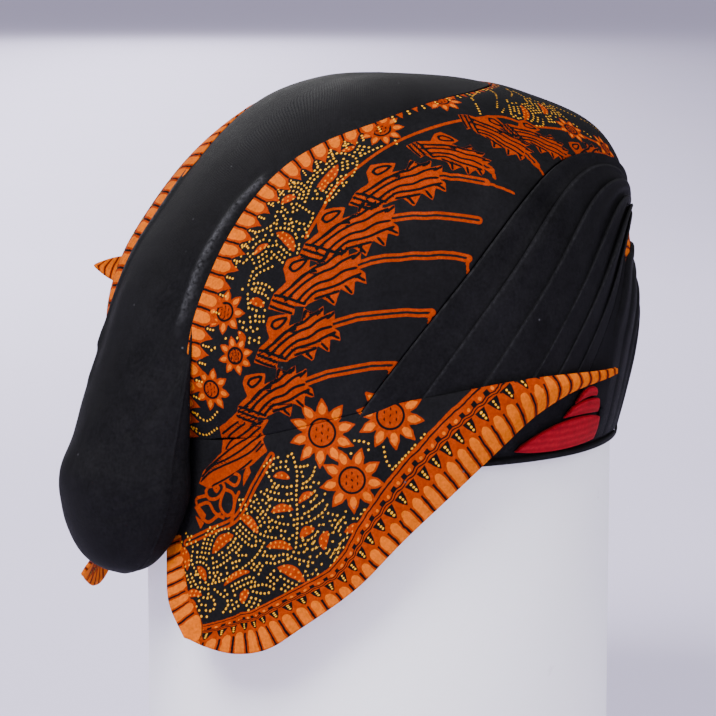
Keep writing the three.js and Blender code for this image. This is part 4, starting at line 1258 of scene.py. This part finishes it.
def stripGrid():
    s = np.linspace(.125, 1, strip["rows"])
    high, low = inset(lambda x: fanFold(1, x), s, joint), inset(lambda x: browFold(0, x * .93), s, -joint)
    start, end = fanFold(1, s), browFold(0, s * .93)
    wide = (np.hypot(*(start - end).T) > 4 * joint)[:, None]
    high, low = np.where(wide, high, start), np.where(wide, low, end)
    u = np.linspace(0, 1, strip["cols"])[None, :, None]
    place = mix(high[:, None], low[:, None], u)
    return skin(place, np.full(place.shape[:2], layer)), skin(place,
        np.full(place.shape[:2], layer + cloth - .2))


stripInner, stripOuter = stripGrid()
makePair("BatikStrip", "batik_strip", stripCloth, stripInner, stripOuter,
         share=np.linspace(.125, 1, strip["rows"])[:, None], bulge=.2)

# Fine pleats over the forehead

def browPlace(k, s):                             # the top edge joins the last front pleat further down
    place = browFold(k, s)
    pull = (fanFold(1, s) - browFold(0, s)) * (ease(.42, .62, s) * ease(.97, .8, s) * .72 * (1 - k) ** 2)[:,
        None]
    return place + pull


def browGrid():
    s = np.linspace(0, 1, 190)
    inner, outer = [], []
    n = brow["folds"]
    fade = mix(1, .3, ease(.7, 1, s)) * ease(-.02, .1, s)
    thin = 1.1 * ease(.8, 1, s)
    for i in range(n + 1):
        for w in (0, .04, .1, .18, .28, .4, .54, .68, .82, .93) if i < n else (0,):
            k = (i + w) / n
            place = browPlace(k, s) if k > 0 else inset(lambda x: browPlace(0, x), s, joint)
            place[:, 0] = np.minimum(place[:, 0], -joint)
            h = math.sin(math.pi * min(1, w * 3.6) / 2) * (1 - float(ease(.24, 1, w)) * .95)
            size = 1.25 if i % 3 == 0 else .8
            bump = 2.2 * np.exp(-((s - .16) / .09) ** 2) * math.exp(-((k - .3) / .28) ** 2)
            crease = ripple(np.full_like(s, k * 80), s * 4, 40 + i) * .1
            inner.append(skin(place, np.full_like(s, layer - .2)))
            outer.append(skin(place,
                              layer + .9 - thin + brow["rise"] * h * fade * size + crease * fade + bump))
    return np.stack(inner, 1), np.stack(outer, 1)


browInner, browOuter = browGrid()
makePair("BrowWrap", "brow_wrap", blackCloth, browInner, browOuter)
print("pleats done")

# Padded tongue and bulb

tongue = {
    "pad": [(1, 1.2), (1, 2.2), (1, 2.6), (1, 2.6), (1, 2.6), (.9, 2.8), (.9, 3.2), (.9, 4.2), (.9, 9),
            (.9, 22.4), (3.9, 31)],
    "bulb": [(-2, 34.2, 95, 128.2), (-9, 34.2, 94.5, 128.7), (-16, 33, 95, 128.5), (-24, 30.2, 96.5, 127.7),
             (-30.5, 27, 98.5, 125.6), (-36, 22.8, 101, 122.8), (-40, 17.8, 103.8, 119.4),
             (-42.6, 11.2, 107, 115.4)],
    "rows": 230, "bulbRows": 76, "cols": 96, "flare": .125,
    # places beside the middle and up, rise and width, in millimetres; a separate script turned
    # places picked on the photo into these
    "creases": [
        ([(31.8, 97.3), (30.7, 89.2), (30.1, 82.1), (30.7, 73.9), (31.3, 66.5), (31.9, 58), (31.9, 47),
          (31.6, 37.3), (30.2, 28.2), (27.1, 19.3), (21.3, 10.4)], -1.5, 1.7),
        ([(29.3, 98.2), (26.8, 90.8), (26.2, 84.5), (26.5, 76.7), (27.2, 68.2), (28.2, 58.2), (28.4, 50.3),
          (27.8, 43), (26.4, 36.6)], 1.3, 2.3),
        ([(32.7, 39.4), (33.8, 33.1), (34.5, 26), (34.3, 19.2)], -.9, 1.4),
        ([(25.1, 40.2), (23.2, 31.6), (20.8, 25.3)], .8, 3),
        ([(32.9, 28.1), (34.1, 21.1), (34, 14.6)], -.5, 1.2), ([(33.4, -6), (30, -9.5), (24, -14)], -.6, 1.3),
        ([(31.5, -13), (27, -16.5), (20, -20)], -.6, 1.4), ([(13.6, 56), (12.6, 45.8), (11.4, 33.1)], .5, 5),
        ([(2.2, 9.5), (8.3, -4.2), (12.1, -14.2)], .6, 6)],
}


def tongueGrid():
    angle = np.linspace(-math.pi / 2, math.pi / 2, tongue["cols"])
    u = np.sin(angle)[None]
    back = np.array([0, 1, 0])
    s = np.linspace(hat["centreShare"], 1, tongue["rows"])
    edge = inset(panelEdge, s, -1.6 * joint)
    half, b = np.maximum(.004, np.abs(edge[:, 0]))[:, None], edge[:, 1][:, None]
    half = half + tongue["flare"] * ease(.6, .97, b)
    q = np.hypot(half, b)
    rounded = ease(.5, .82, b)
    middle = mix(b, q, rounded)
    pad = tableAt(tongue["pad"], (b[:, 0] + .12) / (.95 + .12))
    place = np.stack([half * u, mix(middle, b, u * u)], -1)
    points, dirs = discPoint(place), discNormal(place)
    dirs = mix(dirs, back, rounded[..., None])
    dirs /= np.linalg.norm(dirs, axis=-1, keepdims=True)
    gap, thick = pad[:, :1], pad[:, 1:]
    rim = domeRows[0, 4]
    rows = np.linspace(0, 1, tongue["bulbRows"] + 1)[1:]
    bulb = tableAt(tongue["bulb"], rows)
    bulb = np.concatenate([bulb, [[-43.7, 7, 108.8, 112.1], [-44.1, 2.6, 110, 110.9]]])
    x = bulb[:, 1:2] * u
    bulbPoints = np.stack([x, np.sqrt(rim ** 2 - x ** 2), bulb[:, :1] + 0 * x], -1)
    points = np.concatenate([points, bulbPoints])
    dirs = np.concatenate([dirs, np.broadcast_to(back, bulbPoints.shape)])
    gap = np.concatenate([gap, bulb[:, 2:3] - rim])
    thick = np.concatenate([thick, bulb[:, 3:4] - bulb[:, 2:3]])
    rounded = np.concatenate([rounded, np.ones((len(bulb), 1))])
    arch = np.maximum(.5, thick / 2 * np.sqrt(1 - u * u))
    full = np.maximum(.5, thick / 2 * (1 - np.abs(u) ** 3) ** (1 / 3))
    low = mix(gap + 0 * u, gap + thick / 2 - full, rounded)
    high = mix(gap + cloth + (thick - cloth) * (1 - u * u), gap + thick / 2 + arch, rounded)
    inner, outer = points + dirs * low[..., None], points + dirs * high[..., None]
    join = len(s)
    for grid in (inner, outer):                  # let the tongue flow into the bulb
        for _ in range(60):
            part = grid[join - 44:join + 16]
            part[1:-1] = part[1:-1] * .5 + (part[:-2] + part[2:]) * .25
    flat = np.stack([np.abs(outer[..., 0]), outer[..., 2], 0 * outer[..., 0]], -1).reshape(-1, 3)
    wearAndHighlight, rise = np.zeros(len(flat)), np.zeros(len(flat))
    for n, (line, height, wide) in enumerate(tongue["creases"]):
        away, _, _ = lineDistance(flat, smoothLine([(*p, 0) for p in line]), flat * 0 + (0, 0, 1.0))
        rise += height * np.exp(-(away / wide) ** 2)
        # along the crest of the second crease the cloth is made lighter, partly wear and partly painted
        # highlight
        if n == 1:
            wearAndHighlight = np.exp(-(away / 1.3) ** 2) * ease(44, 62, flat[:, 1])
    outer = outer + dirs * (rise.reshape(outer.shape[:2]) * ease(.999, .97, np.abs(u)))[..., None]
    return inner, outer, wearAndHighlight.reshape(outer.shape[:2])


tongueInner, tongueOuter, tongueWearAndHighlight = tongueGrid()
built = buildShell("mondolanPad", tongueInner, tongueOuter, coarse=1, bulge=.3)
storeField(built, "clothField", clothRun(tongueOuter, tongueWearAndHighlight), True)
finishPiece(built[0], "mondolan", blackCloth)
print("tongue done")

# Flaps

def flapGrid():
    u, v = np.linspace(0, 1, flap["cols"]), np.linspace(0, 1, flap["rows"])
    seam, edge, backEdge = tableAt(flap["seam"], u), tableAt(flap["edge"], u), tableAt(flap["back"], v)
    theta = np.arctan2(seam[:, 0], -seam[:, 1])
    q = 1 - heightToShare(theta, seam[:, 2])
    lift = mix(flap["lift"][0], flap["flush"], ease(.3, .58, u)) + flap["cloth"] / 2
    shift = skin(np.stack([q * np.sin(theta), -q * np.cos(theta)], -1), lift) - seam
    v3, u3 = v[:, None, None], u[None, :, None]
    p = mix(seam[None], edge[None], v3)
    p = p + (backEdge - mix(seam[-1], edge[-1], v[:, None]))[:, None] * u3 ** 6
    out = p * np.array([1, 1, 0])
    out /= np.linalg.norm(out, axis=-1, keepdims=True)
    near = mix(1, (1 - v3) ** 2, ease(0, .3, u3))
    p = p + shift[None] * near + out * flap["swell"] * 4 * v3 * (1 - v3) * ease(0, .2, u3)
    du, dv = np.gradient(p, axis=1), np.gradient(p, axis=0)
    n = np.cross(du, dv)
    n /= np.linalg.norm(n, axis=-1, keepdims=True) + 1e-9
    n *= np.sign((n * out).sum(-1, keepdims=True))
    thin = flap["cloth"] / 2
    return p - n * thin, p + n * thin


flapInner, flapOuter = flapGrid()
flapPlaces = np.stack(np.meshgrid(np.linspace(0, 1, flap["cols"]), np.linspace(0, 1, flap["rows"])), -1)


def flapEdges(canvas):                           # run along and distance in from the printed edges
    points, normals = canvas["points"], canvas["normals"]
    low, back = np.concatenate([flapOuter[-1, ::6], flapOuter[-1:, -1]]), flapOuter[::6, -1]
    across, _, along = lineDistance(points, low, normals)
    side, _, sideRun = lineDistance(points, back, normals)
    run, reach, squeeze = np.array(flap["border"]).T
    across = borderWidth - (np.interp(along, run, reach) - across) / np.interp(along, run, squeeze)
    zone = (side < flap["backStrip"]) & (side < across * .5 + 3) & (sideRun > flap["backFrom"])
    side = np.where(sideRun > flap["backFrom"], side, 99)
    return np.where(zone, sideRun, along), np.where(zone, side * 1.3, across), zone * 1.0


def panelEdges(canvas, edge):
    across, _, along = lineDistance(canvas["points"], edge[::3], canvas["normals"])
    return along, across + np.interp(along, *np.array(panel["border"]).T)


def buildPatterned():
    grids = {side: panelGrid(side == "left") for side in ("right", "left")}
    panelCanvas, flapCanvas = newCanvas(grids["right"][1]), newCanvas(flapOuter)
    printCanvases(panelCanvas, flapCanvas, placeOn(grids["right"][1], grids["right"][2]),
                  placeOn(flapOuter, flapPlaces))
    print("print laid out")
    along, across, zone = flapEdges(flapCanvas)
    farTurn = (flap["farTurn"] * ease(.75, 1, flapPlaces[..., 0]) * ease(.4, 1, flapPlaces[..., 1]))[...,
        None] * np.array([0, -.2, 1])
    panelRun = panelEdges(panelCanvas, grids["right"][1][:, 0])
    for side, (inner, outer, _, reach) in grids.items():
        turn = mirrored if side == "left" else (lambda q: q)
        built = buildShell(f"{side}Panel", turn(inner), turn(outer))
        finishPiece(built[0], f"{side}_panel", panelCloth)
        declareSheet(built[0], outer)
        storePrint(built, panelCanvas, *panelRun, reach * 0)
        curl = farTurn if side == "left" else 0
        built = buildShell(f"{side}Flap", turn(flapInner + curl), turn(flapOuter + curl), bulge=.4)
        finishPiece(built[0], f"{side}_flap", flapCloth)
        declareSheet(built[0], flapOuter)
        storePrint(built, flapCanvas, along, across, zone)


buildPatterned()
print("panels and flaps done")

# Red folds of the lining in front of each flap

redFolds = [
    {"low": [(271, 4.6), (283, 3.3), (296.8, 4.6)], "high": [(272, 6.4), (283.6, 13.4), (296.6, 13)]},
    {"low": [(283.6, 15), (290, 15.2), (296.2, 14.8)], "high": [(286, 18.4), (290.6, 20), (295.2, 19.8)]},
    {"low": [(287, 19.6), (291, 21.2), (294.6, 21)], "high": [(288.4, 22.6), (291, 24.6), (293.4, 24.2)]},
]


def redGrid(fold):
    u, v = np.linspace(0, 1, 44), np.linspace(0, 1, 22)[:, None]

    def row(edge):
        p, q, r = (np.array(x, float) for x in edge)
        k = u[:, None]
        path = (1 - k) ** 2 * p + 2 * k * (1 - k) * (2 * q - (p + r) / 2) + k * k * r
        return disc(path[:, 0], heightToShare(np.radians(path[:, 0]), path[:, 1]))

    place = mix(row(fold["low"])[None], row(fold["high"])[None], v[..., None])
    height = layer + mix(1, 1.8, v) + 0 * u + .35 * np.sin(np.pi * v)
    return skin(place, np.full(place.shape[:2], layer)), skin(place, height)


for n, fold in enumerate(redFolds, 1):
    inner, outer = redGrid(fold)
    makePair(f"RedFold{n}", f"red_fold_{n}", redCloth, inner, outer,
             coarse=2)

# Stray corner of cloth at the left of the back

cornerTip = {"rootA": (147, 64), "rootB": (151, 55), "tip": (54.4, 93, 62)}


def cornerGrid():
    def root(place):
        az, z = place
        t = heightToShare(np.radians(np.array([az])), np.array([float(z)]))[0]
        return skin(disc(np.array(az), np.array(t)), np.array(layer + cloth + .5))
    a, b, tip = root(cornerTip["rootA"]), root(cornerTip["rootB"]), np.array(cornerTip["tip"], float)
    n = np.cross(b - a, tip - a)
    n /= np.linalg.norm(n)
    k, r = np.linspace(0, 1, 24), np.linspace(0, 1, 40)[:, None, None]
    rootLine = mix(a, b, k[:, None])
    near = mix(tip, (a + b) / 2, .04) + (b - a) * (.04 * (k - .5))[:, None]
    grid = mix(rootLine[None], near[None], r)
    grid = grid + n * (1.4 * np.sin(np.pi * r[..., 0]) * (k - .5) * 2)[..., None]
    return grid - n * .45, grid + n * .45


inner, outer = cornerGrid()
built = buildShell("leftCornerTip", inner, outer, coarse=2)
storeField(built, "clothField", clothRun(outer), True)
finishPiece(built[0], "left_corner_tip", tipCloth)
declareSheet(built[0], outer)
print("small pieces done")

# Display cylinder

tube = {"radius": .088, "wall": .003, "sides": 160, "soft": .0006}


def makeTube():
    height = tubeHigh[2] - tubeLow[2]
    bpy.ops.object.select_all(action="DESELECT")
    bpy.ops.mesh.primitive_cylinder_add(vertices=tube["sides"], radius=tube["radius"], depth=height,
                                        end_fill_type="NOTHING",
                                        location=(axisPlace[0], axisPlace[1], (tubeLow[2] + tubeHigh[2]) / 2))
    obj = bpy.context.object
    obj.name = "displayCylinder"
    wall = obj.modifiers.new("wall", "SOLIDIFY")
    wall.thickness, wall.offset = tube["wall"], -1
    soft = obj.modifiers.new("soft", "BEVEL")
    soft.width, soft.segments, soft.angle_limit = tube["soft"], 3, math.radians(60)
    for m in ("wall", "soft"):
        bpy.ops.object.modifier_apply(modifier=m)
    bpy.ops.object.transform_apply(location=True, rotation=True, scale=True)
    bpy.ops.object.shade_smooth_by_angle(angle=math.radians(35))
    finishPiece(obj, "display_tube", whiteBoard)


makeTube()

# Floor, light and camera

view = {"azimuth": 240, "elevation": 8, "distance": 1.1, "focalPixels": 1.1 / .000381, "imagePixels": 716,
        "rimPixel": (378, 427)}


def makeCamera():
    a, e = math.radians(view["azimuth"]), math.radians(view["elevation"])
    back = Vector((math.sin(a) * math.cos(e), -math.cos(a) * math.cos(e), math.sin(e)))
    right = Vector((math.cos(a), math.sin(a), 0))
    up = back.cross(right)
    f, half = view["focalPixels"], view["imagePixels"] / 2
    place = Vector(axisPlace) + back * view["distance"]
    place -= right * (view["rimPixel"][0] - half) / f * view["distance"]
    place += up * (view["rimPixel"][1] - half) / f * view["distance"]
    data = bpy.data.cameras.new("camera")
    data.sensor_width = 36
    data.lens = 36 * f / view["imagePixels"]
    cam = bpy.data.objects.new("camera", data)
    bpy.context.scene.collection.objects.link(cam)
    cam.location = place
    cam.rotation_euler = back.to_track_quat("Z", "Y").to_euler()
    bpy.context.scene.camera = cam
    return back, right


lookBack, lookRight = makeCamera()

studio = {"world": (.92, .90, 1.0), "worldStrength": .54, "key": 60, "fill": 22, "back": 5, "sweep": 170,
          "sweepSize": (1.2, 9)}


def makeFloor():
    bpy.ops.object.select_all(action="DESELECT")
    bpy.ops.mesh.primitive_plane_add(size=120, location=(0, 0, cadBounds[0][2] - .0005))
    floor = bpy.context.object
    floor.name = "floor"
    floor.data.materials.append(paleFloor)


def makeLight(name, direction, size, power, distance=1.6, color=(1, 1, 1)):
    data = bpy.data.lights.new(name, "AREA")
    data.size, data.energy, data.color = size, power, color
    lamp = bpy.data.objects.new(name, data)
    bpy.context.scene.collection.objects.link(lamp)
    lamp.location = Vector(axisPlace) + direction.normalized() * distance
    lamp.rotation_euler = direction.to_track_quat("Z", "Y").to_euler()
    return lamp


makeFloor()
makeLight("key", lookBack * .95 - lookRight * .55 + Vector((0, 0, .95)), .8, studio["key"], 1.9)
makeLight("fill", lookBack * .9 + lookRight * .9 + Vector((0, 0, .5)), 1.6, studio["fill"], 2.0)
makeLight("back", lookBack * -1 + Vector((0, 0, .9)), 1.5, studio["back"], 2.0)
# a long lamp over the floor behind
sweep = makeLight("sweep", Vector((0, 0, 1)), studio["sweepSize"][0], studio["sweep"], 1.5)
sweep.data.shape, sweep.data.size_y = "RECTANGLE", studio["sweepSize"][1]
sweep.location = Vector(axisPlace) - lookRight * .75 - lookBack * 5.5 + Vector((0, 0, 1.75))
sweep.rotation_euler = (0, 0, math.radians(view["azimuth"]))
world = bpy.data.worlds.new("studio")
world.use_nodes = True
world.node_tree.nodes["Background"].inputs["Color"].default_value = (*studio["world"], 1)
world.node_tree.nodes["Background"].inputs["Strength"].default_value = studio["worldStrength"]
bpy.context.scene.world = world
print("stage done")
